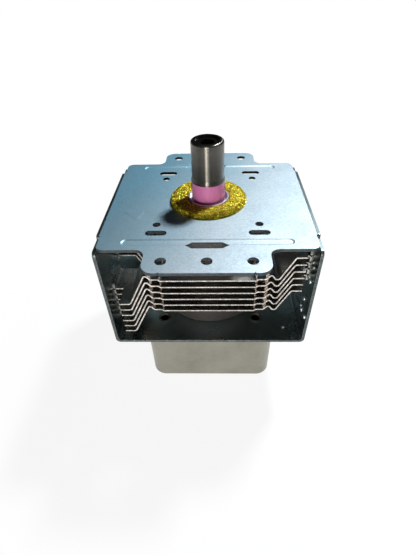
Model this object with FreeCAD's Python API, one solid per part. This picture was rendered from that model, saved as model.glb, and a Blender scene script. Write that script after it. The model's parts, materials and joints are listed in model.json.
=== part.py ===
import FreeCAD, Part
import math
import os

VEC = FreeCAD.Vector

# Magnetron of a microwave oven, in millimetres, +Z up along the antenna.
# The origin is the middle of the filter box's underside; X runs across the
# yoke from side wall to side wall and Y runs through the cooling fins, with
# the filament connector at the rear, on +Y.

# Filter box, which the whole tube stands on
BOX_WIDTH = 66.2
BOX_DEPTH = 66.0
BOX_HEIGHT = 36.6
BOX_SHEET = 0.6
BOX_CORNER_RADIUS = 7.5
BOX_TOP_RADIUS = 0.9
LID_RIM_HEIGHT = 4.0

# Drawn collars of the box, flared over the yoke's floor
COLLAR_SPACING_X = 47.6
COLLAR_SPACING_Y = 48.0
COLLAR_BORE_RADIUS = 2.0
COLLAR_WALL = 0.5
COLLAR_FLARE_RADIUS = 3.25
COLLAR_FLARE_HEIGHT = 0.55

# Yoke, a folded U frame and the mounting plate between its walls
YOKE_SHEET = 1.4
YOKE_INNER_WIDTH = 90.4
YOKE_DEPTH = 78.2
YOKE_BEND_RADIUS = 1.0
WALL_TAB_LENGTH = 59.0
WALL_TAB_SINK = 0.15
WALL_TAB_RADIUS = 1.2
WALL_END_DROP = 0.5
WALL_END_RADIUS = 2.2
YOKE_FLOOR_BORE_RADIUS = 10.3

# Mounting plate
PLATE_SHEET = 1.4
PLATE_CORNER_RADIUS = 3.0
PLATE_END_RELIEF = 0.4
PLATE_BORE_RADIUS = 10.1
EAR_SPAN = 106.5
EAR_WIDTH = 49.6
EAR_CORNER_RADIUS = 5.0
EAR_ROOT_RADIUS = 4.0
EAR_HOLE_RADIUS = 2.25
EAR_HOLE_PITCH = 17.64
EAR_HOLE_ROWS = 92.8
PIN_HOLE_RADIUS = 1.75
PIN_HOLE_SPACING_X = 44.2
PIN_HOLE_SPACING_Y = 42.6
SLOT_LENGTH = 9.1
SLOT_WIDTH = 3.5
SLOT_SPACING_X = 43.4
SLOT_SPACING_Y = 55.2
HEX_SLOT_LENGTH = 18.1
HEX_SLOT_FLAT = 12.4
HEX_SLOT_WIDTH = 4.5
HEX_SLOT_SPACING = 72.3
RIB_LENGTH = 70.6
RIB_WIDTH = 4.35
RIB_DEPTH = 0.35
RIB_SLOPE = 0.7
RIB_SPACING = 68.0
EAR_NICK_RADIUS = 0.4
EAR_NICK_SPACING = 35.8

# Ring magnets
MAGNET_RADIUS = 27.0
MAGNET_BORE_RADIUS = 10.5
MAGNET_THICKNESS = 12.4
MAGNET_CHAMFER = 0.6

# Anode block
ANODE_RADIUS = 19.5
ANODE_WALL = 2.2
ANODE_LENGTH = 25.85
VANE_COUNT = 10
VANE_THICKNESS = 1.9
VANE_HEIGHT = 9.4
VANE_TIP_RADIUS = 4.5
STRAP_SECTION = 1.0
STRAP_RADII = (7.2, 9.6)
STRAP_SEAT_DEPTH = 1.2
STRAP_CLEAR_DEPTH = 1.8
STRAP_SIDE_CLEARANCE = 0.4

# Pole pieces, one each end of the anode
POLE_RIM = 1.6
POLE_RIM_INNER_RADIUS = 15.5
POLE_CONE_RADIUS = 16.2
POLE_NOSE_RADIUS = 9.0
POLE_NOSE_BACK = 0.6
POLE_BORE_RADIUS = 4.7
POLE_NOSE_GAP = 6.4
POLE_SHEET = 1.6
ANTENNA_HOLE_RADIUS = 2.3

# Seal cups, through the magnets
SEAL_SHEET = 0.6
SEAL_TUBE_RADIUS = 9.6
SEAL_LEDGE_RADIUS = 6.2
SEAL_RIM_ABOVE_PLATE = 1.95
SEAL_LEDGE_DEPTH = 2.0
LOWER_SEAL_REACH = 3.1

# Antenna
INSULATOR_RADIUS = 7.6
INSULATOR_BORE_RADIUS = 5.4
INSULATOR_HEIGHT = 10.3
ANTENNA_LEAD_RADIUS = 1.1
ANTENNA_FOOT_RADIUS = 12.0
ANTENNA_LEAD_STRAIGHT = 4.3
ANTENNA_LEAD_SLANT = 9.5
ANTENNA_LEAD_BEND = 4.0
EXHAUST_RADIUS = 4.0
EXHAUST_WALL = 0.8
EXHAUST_FLANGE_RADIUS = 6.8
EXHAUST_FLANGE = 0.5
EXHAUST_STRAIGHT = 8.3
EXHAUST_PINCH_HEIGHT = 4.6
EXHAUST_PINCH_LENGTH = 10.0
EXHAUST_PINCH_WIDTH = 1.4
CAP_RADIUS = 7.3
CAP_HEIGHT = 18.2
CAP_SHEET = 0.6
CAP_FLARE_RADIUS = 7.75
CAP_FLARE_HEIGHT = 2.0
CAP_FLARE_LIP = 0.7
CAP_EDGE_RADIUS = 1.1
CAP_RECESS_RADIUS = 5.25
CAP_RECESS_DEPTH = 1.0
CAP_HOLE_RADIUS = 3.1

# Knitted radio-frequency gasket around the antenna
GASKET_RADIUS = 18.3
GASKET_HEIGHT = 2.2
GASKET_EDGE_RADIUS = 1.0
GASKET_GROOVES = 36
GASKET_GROOVE_WIDTH = 0.9
GASKET_GROOVE_DEPTH = 0.3

# Cathode
FILAMENT_RADIUS = 1.9
FILAMENT_WIRE_RADIUS = 0.3
FILAMENT_TURNS = 6
FILAMENT_LENGTH = 10.0
END_HAT_RADIUS = 3.6
END_HAT_THICKNESS = 1.2
LOWER_HAT_BORE_RADIUS = 1.3
SUPPORT_RADIUS = 0.7
SUPPORT_OFFSET = 2.7
SUPPORT_JOG_START = 4.0
SUPPORT_JOG_RISE = 6.0
SUPPORT_BEND_RADIUS = 4.0
SUPPORT_END_BELOW_STEM = 1.2
STEM_RADIUS = 8.8
STEM_HEIGHT = 9.5
STEM_TERMINAL_SHEET = 0.6
STEM_TERMINAL_WIDTH = 4.0
STEM_TERMINAL_REACH = 7.0
STEM_TERMINAL_DROP = 4.6
STEM_TERMINAL_INNER = 1.2

# Choke coils and their cores
CHOKE_OFFSET = 16.0
CHOKE_RADIUS = 4.0
CHOKE_WIRE_RADIUS = 0.7
CHOKE_PITCH = 2.1
CHOKE_FULL_TURNS = 7
CHOKE_CORE_CLEARANCE = 0.05
CHOKE_CORE_OVERHANG = 1.5
CHOKE_LEAD_BELOW_STEM = 3.0
CHOKE_LEAD_GAP = 0.1

# Filament connector in the box's rear wall
TERMINAL_PITCH = 9.6
CONNECTOR_LENGTH = 21.0
CONNECTOR_WIDTH = 11.6
CONNECTOR_OUTSIDE = 9.2
CONNECTOR_END_WALL = 1.2
CONNECTOR_INSIDE = 8.4
INNER_HOUSING_WALL = 1.6
CERAMIC_LENGTH = 15.6
CERAMIC_WIDTH = 7.4
FLANGE_WIDTH = 36.0
FLANGE_HEIGHT = 17.0
FLANGE_SHEET = 0.8
FLANGE_CORNER_RADIUS = 3.0
RIVET_SPACING = 28.0
RIVET_RADIUS = 1.6
RIVET_HEAD_RADIUS = 2.8
RIVET_HEAD_HEIGHT = 1.0
TERMINAL_ROD_RADIUS = 1.2
TERMINAL_ROD_TAIL = 1.4
BLADE_WIDTH = 6.35
BLADE_THICKNESS = 0.8
BLADE_LENGTH = 8.0
BLADE_TIP_TAPER = 1.0
BLADE_HOLE_RADIUS = 0.8
BLADE_HOLE_FROM_TIP = 3.2
BLADE_ROOT = 1.5

# Cooling fins: centre line of one side, as distance from the middle, height
# above the fin's own level and bend radius at each fold
FIN_COUNT = 6
FIN_SHEET = 0.6
FIN_PITCH = 3.66
FIN_DEPTH = 76.8
FIN_TOP_BELOW_PLATE = 16.1
FIN_COLLAR_HEIGHT = 2.0
FIN_STEP_START = 20.7
FIN_STEP_END = 21.5
FIN_STEP_HEIGHT = 0.8
FIN_STEP_BEND = 0.6
FIN_SHELF_END = 24.8
FIN_PEAK_X = 27.0
FIN_PEAK_HEIGHT = 3.45
FIN_BEND = 0.9
FIN_VALLEY_START = 28.8
FIN_VALLEY_END = 30.3
FIN_VALLEY_HEIGHT = 0.75
FIN_RAISED_X = 36.1
FIN_RAISED_HEIGHT = 12.3
FIN_LOWERED_X = 35.6
FIN_LOWERED_HEIGHT = 14.1
FIN_LOWERED_BEND = 1.5
FIN_FLANGE_HEIGHT = 2.9
FIN_SLIT_Y = 13.0
FIN_SLIT_WIDTH = 0.8
FIN_NOTCH_X = 40.7
FIN_NOTCH_Y = 28.0

# Heights that follow from the stack of pieces
YOKE_BOTTOM = BOX_HEIGHT
YOKE_FLOOR = YOKE_BOTTOM + YOKE_SHEET
LOWER_MAGNET_TOP = YOKE_FLOOR + MAGNET_THICKNESS
LOWER_POLE_BACK = LOWER_MAGNET_TOP + SEAL_SHEET
ANODE_BOTTOM = LOWER_POLE_BACK + POLE_RIM
ANODE_TOP = ANODE_BOTTOM + ANODE_LENGTH
UPPER_POLE_BACK = ANODE_TOP + POLE_RIM
UPPER_MAGNET_BOTTOM = UPPER_POLE_BACK + SEAL_SHEET
PLATE_BOTTOM = UPPER_MAGNET_BOTTOM + MAGNET_THICKNESS
PLATE_TOP = PLATE_BOTTOM + PLATE_SHEET
ANODE_MIDDLE = (ANODE_BOTTOM + ANODE_TOP) / 2
VANE_BOTTOM = ANODE_MIDDLE - VANE_HEIGHT / 2
VANE_TOP = ANODE_MIDDLE + VANE_HEIGHT / 2
ANODE_BORE_RADIUS = ANODE_RADIUS - ANODE_WALL
SEAL_RIM_TOP = PLATE_TOP + SEAL_RIM_ABOVE_PLATE
INSULATOR_BOTTOM = SEAL_RIM_TOP - SEAL_LEDGE_DEPTH
INSULATOR_TOP = INSULATOR_BOTTOM + INSULATOR_HEIGHT
CAP_TOP = INSULATOR_TOP + CAP_HEIGHT
STEM_TOP = YOKE_BOTTOM - LOWER_SEAL_REACH
STEM_BOTTOM = STEM_TOP - STEM_HEIGHT
CHOKE_TOP = STEM_BOTTOM - CHOKE_LEAD_BELOW_STEM
CHOKE_AXIS = CHOKE_TOP - CHOKE_RADIUS
CONNECTOR_Z = CHOKE_AXIS - CHOKE_RADIUS
BOX_REAR = BOX_DEPTH / 2
FLANGE_REAR = BOX_REAR + FLANGE_SHEET
HOUSING_REAR = FLANGE_REAR + CONNECTOR_OUTSIDE
FIN_WALL_X = (YOKE_INNER_WIDTH - FIN_SHEET) / 2

# Which way each plane's outline coordinates lie in space
PLANES = {
    "XY": lambda u, v: VEC(u, v, 0),
    "XZ": lambda u, v: VEC(u, 0, v),
    "YZ": lambda u, v: VEC(0, u, v),
}
SIGNS = (-1, 1)


def rounded_outline(corners, plane="XY"):
    """Closed wire through (u, v, radius) corners, each an arc where radius isn't 0."""
    place = PLANES[plane]
    starts, middles, ends = [], [], []
    for index, (u, v, radius) in enumerate(corners):
        here = place(u, v)
        following = corners[(index + 1) % len(corners)]
        back = (place(*corners[index - 1][:2]) - here).normalize()
        ahead = (place(*following[:2]) - here).normalize()
        half_angle = back.getAngle(ahead) / 2
        reach = radius / math.tan(half_angle)
        inward = (back + ahead) if radius else back
        depth = radius / math.sin(half_angle) - radius
        starts.append(here + back * reach)
        middles.append(here + inward.normalize() * depth)
        ends.append(here + ahead * reach)
    edges = []
    for index, (_, _, radius) in enumerate(corners):
        if radius:
            edges.append(Part.Arc(starts[index], middles[index], ends[index]).toShape())
        target = starts[(index + 1) % len(corners)]
        if (target - ends[index]).Length > 1e-6:
            edges.append(Part.LineSegment(ends[index], target).toShape())
    return Part.Wire(edges)


def prism(corners, low, high, plane="XY"):
    """Solid of a rounded outline between two levels across its plane."""
    normal = {"XY": VEC(0, 0, 1), "XZ": VEC(0, 1, 0), "YZ": VEC(1, 0, 0)}[plane]
    face = Part.Face(rounded_outline(corners, plane))
    face.translate(normal * low)
    return face.extrude(normal * (high - low))


def rectangle(width, height, radius=0, centre=(0, 0)):
    """Corners of a centred rectangle with one corner radius."""
    u, v = centre
    return [
        (u - width / 2, v - height / 2, radius),
        (u + width / 2, v - height / 2, radius),
        (u + width / 2, v + height / 2, radius),
        (u - width / 2, v + height / 2, radius),
    ]


def stadium_wire(length, width, centre=(0, 0), plane="XY"):
    """Closed wire with straight sides and half-round ends, long along the first axis."""
    place = PLANES[plane]
    u, v = centre
    half = (length - width) / 2
    radius = width / 2
    lower = [place(u - half, v - radius), place(u + half, v - radius)]
    upper = [place(u + half, v + radius), place(u - half, v + radius)]
    return Part.Wire([
        Part.LineSegment(*lower).toShape(),
        Part.Arc(lower[1], place(u + half + radius, v), upper[0]).toShape(),
        Part.LineSegment(*upper).toShape(),
        Part.Arc(upper[1], place(u - half - radius, v), lower[0]).toShape(),
    ])


def stadium(length, width, low, high, centre=(0, 0), plane="XY"):
    """Solid of a stadium outline between two levels across its plane."""
    normal = {"XY": VEC(0, 0, 1), "XZ": VEC(0, 1, 0)}[plane]
    face = Part.Face(stadium_wire(length, width, centre, plane))
    face.translate(normal * low)
    return face.extrude(normal * (high - low))


def revolved(corners):
    """Solid of revolution about the antenna axis from (r, z, radius) corners."""
    face = Part.Face(rounded_outline(corners, "XZ"))
    return face.revolve(VEC(0, 0, 0), VEC(0, 0, 1), 360)


def post(radius, low, high, x=0, y=0):
    """Upright cylinder."""
    return Part.makeCylinder(radius, high - low, VEC(x, y, low))


def ring(outer, inner, low, high):
    """Upright ring on the antenna axis."""
    return post(outer, low, high).cut(post(inner, low, high))


def at_corners(spacing_x, spacing_y):
    """Centres of four features set out on a centred rectangle."""
    return [(sx * spacing_x / 2, sy * spacing_y / 2) for sx in SIGNS for sy in SIGNS]


def bent_rod(points, radius, bend):
    """Round wire along straight runs joined by tangent arcs."""
    edges = []
    start = points[0]
    for before, here, after in zip(points, points[1:], points[2:]):
        back = (before - here).normalize()
        ahead = (after - here).normalize()
        half_angle = back.getAngle(ahead) / 2
        reach = bend / math.tan(half_angle)
        middle = here + (back + ahead).normalize() * (bend / math.sin(half_angle) - bend)
        edges.append(Part.LineSegment(start, here + back * reach).toShape())
        edges.append(Part.Arc(here + back * reach, middle, here + ahead * reach).toShape())
        start = here + ahead * reach
    edges.append(Part.LineSegment(start, points[-1]).toShape())
    section = Part.Wire(Part.makeCircle(radius, points[0], points[1] - points[0]))
    return Part.Wire(edges).makePipeShell([section], True, False)


def folded_sheet(folds, sheet, front, rear):
    """Bent sheet from the (x, z, bend) points of its centre line, drawn along Y."""
    points = [VEC(x, front, z) for x, z, _ in folds]
    edges = []
    caps = []
    for side in (sheet / 2, -sheet / 2):
        start = points[0] + side_step(points[0], points[1], side)
        caps.append([start])
        for index in range(1, len(points) - 1):
            arc, start_of_arc, end_of_arc = fold_arc(points, index, folds[index][2], side)
            edges.append(Part.LineSegment(start, start_of_arc).toShape())
            edges.append(arc)
            start = end_of_arc
        end = points[-1] + side_step(points[-2], points[-1], side)
        edges.append(Part.LineSegment(start, end).toShape())
        caps[-1].append(end)
    edges.append(Part.LineSegment(caps[0][0], caps[1][0]).toShape())
    edges.append(Part.LineSegment(caps[0][1], caps[1][1]).toShape())
    face = Part.Face(Part.Wire(Part.__sortEdges__(edges)))
    return face.extrude(VEC(0, rear - front, 0))


def side_step(start, end, distance):
    """Step square to a run of sheet, to its upper side where the run goes along +X."""
    along = (end - start).normalize()
    return VEC(-along.z, 0, along.x) * distance


def fold_arc(points, index, bend, side):
    """Arc of one fold on one side of the sheet, with its two end points."""
    here = points[index]
    back = (points[index - 1] - here).normalize()
    ahead = (points[index + 1] - here).normalize()
    half_angle = back.getAngle(ahead) / 2
    reach = bend / math.tan(half_angle)
    inward = (back + ahead).normalize()
    centre = here + inward * (bend / math.sin(half_angle))
    towards = side_step(points[index - 1], here, 1.0).dot(inward)
    radius = bend - math.copysign(side, side * towards)
    start = here + back * reach + side_step(points[index - 1], here, side)
    end = here + ahead * reach + side_step(here, points[index + 1], side)
    return Part.Arc(start, centre - inward * radius, end).toShape(), start, end


def make_filter_box():
    """Drawn box, closed at the top, with four collars flared over the yoke's floor."""
    box = prism(rectangle(BOX_WIDTH, BOX_DEPTH, BOX_CORNER_RADIUS), 0, BOX_HEIGHT)
    rim = [edge for edge in box.Edges if edge.BoundBox.ZMin > BOX_HEIGHT - BOX_SHEET]
    box = box.makeFillet(BOX_TOP_RADIUS, rim)
    inside = rectangle(
        BOX_WIDTH - 2 * BOX_SHEET, BOX_DEPTH - 2 * BOX_SHEET, BOX_CORNER_RADIUS - BOX_SHEET
    )
    top_inside = BOX_HEIGHT - BOX_SHEET
    box = box.cut(prism(inside, 0, top_inside))
    box = box.cut(post(YOKE_FLOOR_BORE_RADIUS, top_inside, BOX_HEIGHT))
    outer = COLLAR_BORE_RADIUS + COLLAR_WALL
    flare_top = YOKE_FLOOR + COLLAR_FLARE_HEIGHT
    collar = revolved([
        (COLLAR_BORE_RADIUS, top_inside, 0),
        (outer, top_inside, 0),
        (outer, YOKE_FLOOR, 0),
        (COLLAR_FLARE_RADIUS, YOKE_FLOOR, 0),
        (COLLAR_FLARE_RADIUS, (YOKE_FLOOR + flare_top) / 2, 0),
        (outer, flare_top, 0),
        (COLLAR_BORE_RADIUS, YOKE_FLOOR, 0),
    ])
    for x, y in at_corners(COLLAR_SPACING_X, COLLAR_SPACING_Y):
        box = box.cut(post(COLLAR_BORE_RADIUS, top_inside, BOX_HEIGHT, x, y))
        placed = collar.copy()
        placed.translate(VEC(x, y, 0))
        box = box.fuse(placed)
    box = box.removeSplitter()
    wall = (BOX_REAR - BOX_SHEET, BOX_REAR)
    box = box.cut(stadium(CERAMIC_LENGTH, CERAMIC_WIDTH, *wall, (0, CONNECTOR_Z), "XZ"))
    return box.cut(cross_rods(RIVET_RADIUS, RIVET_SPACING, *wall))


def make_filter_box_lid():
    """Shallow tray pressed into the box's mouth, flush with its edge."""
    width = BOX_WIDTH - 2 * BOX_SHEET
    depth = BOX_DEPTH - 2 * BOX_SHEET
    radius = BOX_CORNER_RADIUS - BOX_SHEET
    tray = prism(rectangle(width, depth, radius), 0, LID_RIM_HEIGHT)
    hollow = rectangle(width - 2 * BOX_SHEET, depth - 2 * BOX_SHEET, radius - BOX_SHEET)
    return tray.cut(prism(hollow, BOX_SHEET, LID_RIM_HEIGHT))


def make_yoke_frame():
    """U frame: floor and two walls folded from one strip."""
    half = (YOKE_INNER_WIDTH + YOKE_SHEET) / 2
    floor = YOKE_BOTTOM + YOKE_SHEET / 2
    top = PLATE_TOP - WALL_TAB_SINK
    bend = YOKE_BEND_RADIUS + YOKE_SHEET / 2
    folds = [(-half, top, 0), (-half, floor, bend), (half, floor, bend), (half, top, 0)]
    frame = folded_sheet(folds, YOKE_SHEET, -YOKE_DEPTH / 2, YOKE_DEPTH / 2)
    shoulder = PLATE_BOTTOM - WALL_END_DROP
    side = YOKE_DEPTH / 2
    tab = WALL_TAB_LENGTH / 2
    outline = [
        (-side, YOKE_BOTTOM, 0), (side, YOKE_BOTTOM, 0), (side, shoulder, WALL_END_RADIUS),
        (tab, shoulder, 0), (tab, top, WALL_TAB_RADIUS), (-tab, top, WALL_TAB_RADIUS),
        (-tab, shoulder, 0), (-side, shoulder, WALL_END_RADIUS),
    ]
    reach = half + YOKE_SHEET
    frame = frame.common(prism(outline, -reach, reach, "YZ"))
    frame = frame.cut(post(YOKE_FLOOR_BORE_RADIUS, YOKE_BOTTOM, YOKE_FLOOR))
    for x, y in at_corners(COLLAR_SPACING_X, COLLAR_SPACING_Y):
        frame = frame.cut(post(COLLAR_BORE_RADIUS + COLLAR_WALL, YOKE_BOTTOM, YOKE_FLOOR, x, y))
    return frame


def plate_outline():
    """Corners of the mounting plate: body between the walls, ears front and rear."""
    width = YOKE_INNER_WIDTH / 2
    narrow = width - PLATE_END_RELIEF
    depth = YOKE_DEPTH / 2
    tab = WALL_TAB_LENGTH / 2
    ear = EAR_WIDTH / 2
    end = EAR_SPAN / 2
    quarter = [
        (width, tab, 0), (narrow, tab, 0), (narrow, depth, PLATE_CORNER_RADIUS),
        (ear, depth, EAR_ROOT_RADIUS), (ear, end, EAR_CORNER_RADIUS),
    ]
    left = [(-x, y, radius) for x, y, radius in reversed(quarter)]
    rear = quarter + left
    front = [(-x, -y, radius) for x, y, radius in rear]
    return rear + front


def hexagon_slot(y):
    """Long slot with pointed ends through the plate."""
    tip = HEX_SLOT_LENGTH / 2
    flat = HEX_SLOT_FLAT / 2
    half = HEX_SLOT_WIDTH / 2
    corners = [
        (-tip, y, 0), (-flat, y - half, 0), (flat, y - half, 0),
        (tip, y, 0), (flat, y + half, 0), (-flat, y + half, 0),
    ]
    return prism(corners, PLATE_BOTTOM - RIB_DEPTH, PLATE_TOP)


def rib_form(y):
    """Shallow trough with sloping sides, which one pressed rib takes out of the plate's top."""
    wires = []
    for inset, level in ((0, PLATE_TOP), (RIB_SLOPE, PLATE_TOP - RIB_DEPTH)):
        wire = stadium_wire(RIB_LENGTH - 2 * inset, RIB_WIDTH - 2 * inset, (0, y))
        wire.translate(VEC(0, 0, level))
        wires.append(wire)
    return Part.makeLoft(wires, True, True)


def make_yoke_top_plate():
    """Mounting plate with ears, holes and two stiffening ribs pressed down into it."""
    plate = prism(plate_outline(), PLATE_BOTTOM, PLATE_TOP)
    for sign in SIGNS:
        trough = rib_form(sign * RIB_SPACING / 2)
        bulge = trough.copy()
        bulge.translate(VEC(0, 0, -PLATE_SHEET))
        plate = plate.cut(trough).fuse(bulge)
    plate = plate.removeSplitter()
    for sign in SIGNS:
        plate = plate.cut(hexagon_slot(sign * HEX_SLOT_SPACING / 2))
        for step in (-1, 0, 1):
            x, y = step * EAR_HOLE_PITCH, sign * EAR_HOLE_ROWS / 2
            plate = plate.cut(post(EAR_HOLE_RADIUS, PLATE_BOTTOM, PLATE_TOP, x, y))
    for x, y in at_corners(EAR_NICK_SPACING, EAR_SPAN):
        plate = plate.cut(post(EAR_NICK_RADIUS, PLATE_BOTTOM, PLATE_TOP, x, y))
    for x, y in at_corners(PIN_HOLE_SPACING_X, PIN_HOLE_SPACING_Y):
        plate = plate.cut(post(PIN_HOLE_RADIUS, PLATE_BOTTOM, PLATE_TOP, x, y))
    for centre in at_corners(SLOT_SPACING_X, SLOT_SPACING_Y):
        plate = plate.cut(stadium(SLOT_LENGTH, SLOT_WIDTH, PLATE_BOTTOM, PLATE_TOP, centre))
    return plate.cut(post(PLATE_BORE_RADIUS, PLATE_BOTTOM, PLATE_TOP))


def make_magnet(bottom):
    """Ferrite ring with chamfered outer edges."""
    top = bottom + MAGNET_THICKNESS
    edge = MAGNET_RADIUS - MAGNET_CHAMFER
    return revolved([
        (MAGNET_BORE_RADIUS, bottom, 0), (edge, bottom, 0), (MAGNET_RADIUS, bottom + MAGNET_CHAMFER, 0),
        (MAGNET_RADIUS, top - MAGNET_CHAMFER, 0), (edge, top, 0), (MAGNET_BORE_RADIUS, top, 0),
    ])


def fin_side(sign, lowered):
    """Fold points of one half of a fin, from the middle out to its wall flange."""
    folds = [
        (FIN_STEP_START, 0, FIN_STEP_BEND),
        (FIN_STEP_END, FIN_STEP_HEIGHT, FIN_STEP_BEND),
        (FIN_SHELF_END, FIN_STEP_HEIGHT, FIN_BEND),
        (FIN_PEAK_X, FIN_PEAK_HEIGHT, FIN_BEND),
    ]
    if lowered:
        folds += [
            (FIN_LOWERED_X, -FIN_LOWERED_HEIGHT, FIN_LOWERED_BEND),
            (FIN_WALL_X, -FIN_LOWERED_HEIGHT, FIN_BEND),
            (FIN_WALL_X, FIN_FLANGE_HEIGHT - FIN_LOWERED_HEIGHT, 0),
        ]
    else:
        folds += [
            (FIN_VALLEY_START, FIN_VALLEY_HEIGHT, FIN_BEND),
            (FIN_VALLEY_END, FIN_VALLEY_HEIGHT, FIN_BEND),
            (FIN_RAISED_X, FIN_RAISED_HEIGHT, FIN_BEND),
            (FIN_WALL_X, FIN_RAISED_HEIGHT, FIN_BEND),
            (FIN_WALL_X, FIN_RAISED_HEIGHT - FIN_FLANGE_HEIGHT, 0),
        ]
    return [(sign * x, z, bend) for x, z, bend in folds]


def fin_strip(left_lowered, right_lowered, front, rear):
    """One stretch of fin with both its wings."""
    left = fin_side(-1, left_lowered)
    right = fin_side(1, right_lowered)
    return folded_sheet(left[::-1] + right, FIN_SHEET, front, rear)


def make_fin():
    """Fin at level 0: the front left and rear right wings go down, the others up."""
    end = FIN_DEPTH / 2
    fin = fin_strip(True, False, -end, -FIN_SLIT_Y)
    fin = fin.fuse(fin_strip(False, False, -FIN_SLIT_Y, FIN_SLIT_Y))
    fin = fin.fuse(fin_strip(False, True, FIN_SLIT_Y, end)).removeSplitter()
    reach = YOKE_INNER_WIDTH / 2
    low = -FIN_LOWERED_HEIGHT - FIN_SHEET
    high = FIN_RAISED_HEIGHT + FIN_SHEET
    for sign in SIGNS:
        slit_x = sign * (FIN_PEAK_X - FIN_SHEET + reach) / 2
        slit = rectangle(reach - FIN_PEAK_X + FIN_SHEET, FIN_SLIT_WIDTH, 0, (slit_x, sign * FIN_SLIT_Y))
        fin = fin.cut(prism(slit, low, high))
        for end_sign in SIGNS:
            centre = (sign * (FIN_NOTCH_X + reach) / 2, end_sign * (FIN_NOTCH_Y + end) / 2)
            notch = rectangle(reach - FIN_NOTCH_X, end - FIN_NOTCH_Y, 0, centre)
            fin = fin.cut(prism(notch, low, high))
    collar_top = FIN_COLLAR_HEIGHT
    fin = fin.fuse(post(ANODE_RADIUS + FIN_SHEET, -FIN_SHEET / 2, collar_top))
    return fin.cut(post(ANODE_RADIUS, -FIN_SHEET, collar_top)).removeSplitter()


def make_anode_cylinder():
    """Copper barrel that the vanes and the fins are fixed to."""
    return ring(ANODE_RADIUS, ANODE_BORE_RADIUS, ANODE_BOTTOM, ANODE_TOP)


def strap_notches(seated):
    """Two notches in a vane's edge; seated says which strap this vane carries."""
    parts = []
    for index, inner in enumerate(STRAP_RADII):
        depth = STRAP_SEAT_DEPTH if index == seated else STRAP_CLEAR_DEPTH
        low = inner - STRAP_SIDE_CLEARANCE
        high = inner + STRAP_SECTION + STRAP_SIDE_CLEARANCE
        corners = [(low, -depth, 0), (high, -depth, 0), (high, 0, 0), (low, 0, 0)]
        parts.append(prism(corners, -VANE_THICKNESS, VANE_THICKNESS, "XZ"))
    return parts


def make_anode_vanes():
    """Ten radial vanes, alternately notched to carry one or the other strap."""
    vanes = []
    for index in range(VANE_COUNT):
        corners = [
            (0, VANE_BOTTOM, 0), (ANODE_RADIUS, VANE_BOTTOM, 0),
            (ANODE_RADIUS, VANE_TOP, 0), (0, VANE_TOP, 0),
        ]
        vane = prism(corners, -VANE_THICKNESS / 2, VANE_THICKNESS / 2, "XZ")
        vane = vane.common(ring(ANODE_BORE_RADIUS, VANE_TIP_RADIUS, VANE_BOTTOM, VANE_TOP))
        for notch in strap_notches(index % 2):
            upper = notch.copy()
            upper.translate(VEC(0, 0, VANE_TOP))
            lower = notch.mirror(VEC(0, 0, 0), VEC(0, 0, 1))
            lower.translate(VEC(0, 0, VANE_BOTTOM))
            vane = vane.cut(upper).cut(lower)
        vane.rotate(VEC(0, 0, 0), VEC(0, 0, 1), index * 360 / VANE_COUNT)
        vanes.append(vane)
    return Part.makeCompound(vanes)


def make_strap_rings():
    """Four straps, two over and two under the vanes."""
    straps = []
    for inner in STRAP_RADII:
        seats = (VANE_TOP - STRAP_SEAT_DEPTH, VANE_BOTTOM + STRAP_SEAT_DEPTH - STRAP_SECTION)
        for seat in seats:
            straps.append(ring(inner + STRAP_SECTION, inner, seat, seat + STRAP_SECTION))
    return Part.makeCompound(straps)


def make_pole_piece(anode_end, outward):
    """Funnel pressed against one end of the anode; outward is +1 for the upper one."""
    nose = ANODE_LENGTH / 2 - POLE_NOSE_GAP
    corners = [
        (ANODE_RADIUS, 0, 0), (ANODE_RADIUS, POLE_RIM, 0), (POLE_RIM_INNER_RADIUS, POLE_RIM, 0),
        (POLE_NOSE_RADIUS, POLE_SHEET - nose, 0), (POLE_BORE_RADIUS, POLE_SHEET - nose, 0),
        (POLE_BORE_RADIUS, -nose, 0), (POLE_NOSE_RADIUS + POLE_NOSE_BACK, -nose, 0),
        (POLE_CONE_RADIUS, 0, 0),
    ]
    return revolved([(r, anode_end + outward * z, radius) for r, z, radius in corners])


def make_upper_pole_piece():
    """Pole piece with the hole that the antenna lead passes through."""
    pole = make_pole_piece(ANODE_TOP, 1)
    hole = post(ANTENNA_HOLE_RADIUS, VANE_TOP, UPPER_POLE_BACK, ANTENNA_FOOT_RADIUS)
    return pole.cut(hole)


def make_upper_seal_cup():
    """Flanged tube up through the plate, with an inner ledge that carries the ceramic."""
    bore = SEAL_TUBE_RADIUS - SEAL_SHEET
    flange = UPPER_POLE_BACK + SEAL_SHEET
    ledge = INSULATOR_BOTTOM - SEAL_SHEET
    return revolved([
        (bore, UPPER_POLE_BACK, 0), (ANODE_RADIUS, UPPER_POLE_BACK, 0), (ANODE_RADIUS, flange, 0),
        (SEAL_TUBE_RADIUS, flange, 0), (SEAL_TUBE_RADIUS, SEAL_RIM_TOP, 0), (bore, SEAL_RIM_TOP, 0),
        (bore, INSULATOR_BOTTOM, 0), (SEAL_LEDGE_RADIUS, INSULATOR_BOTTOM, 0),
        (SEAL_LEDGE_RADIUS, ledge, 0), (bore, ledge, 0),
    ])


def make_lower_seal_cup():
    """Lower cup, whose turned-in end carries the stem."""
    bore = SEAL_TUBE_RADIUS - SEAL_SHEET
    flange = LOWER_POLE_BACK - SEAL_SHEET
    return revolved([
        (bore, LOWER_POLE_BACK, 0), (ANODE_RADIUS, LOWER_POLE_BACK, 0), (ANODE_RADIUS, flange, 0),
        (SEAL_TUBE_RADIUS, flange, 0), (SEAL_TUBE_RADIUS, STEM_TOP, 0), (SEAL_LEDGE_RADIUS, STEM_TOP, 0),
        (SEAL_LEDGE_RADIUS, STEM_TOP + SEAL_SHEET, 0), (bore, STEM_TOP + SEAL_SHEET, 0),
    ])


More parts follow.
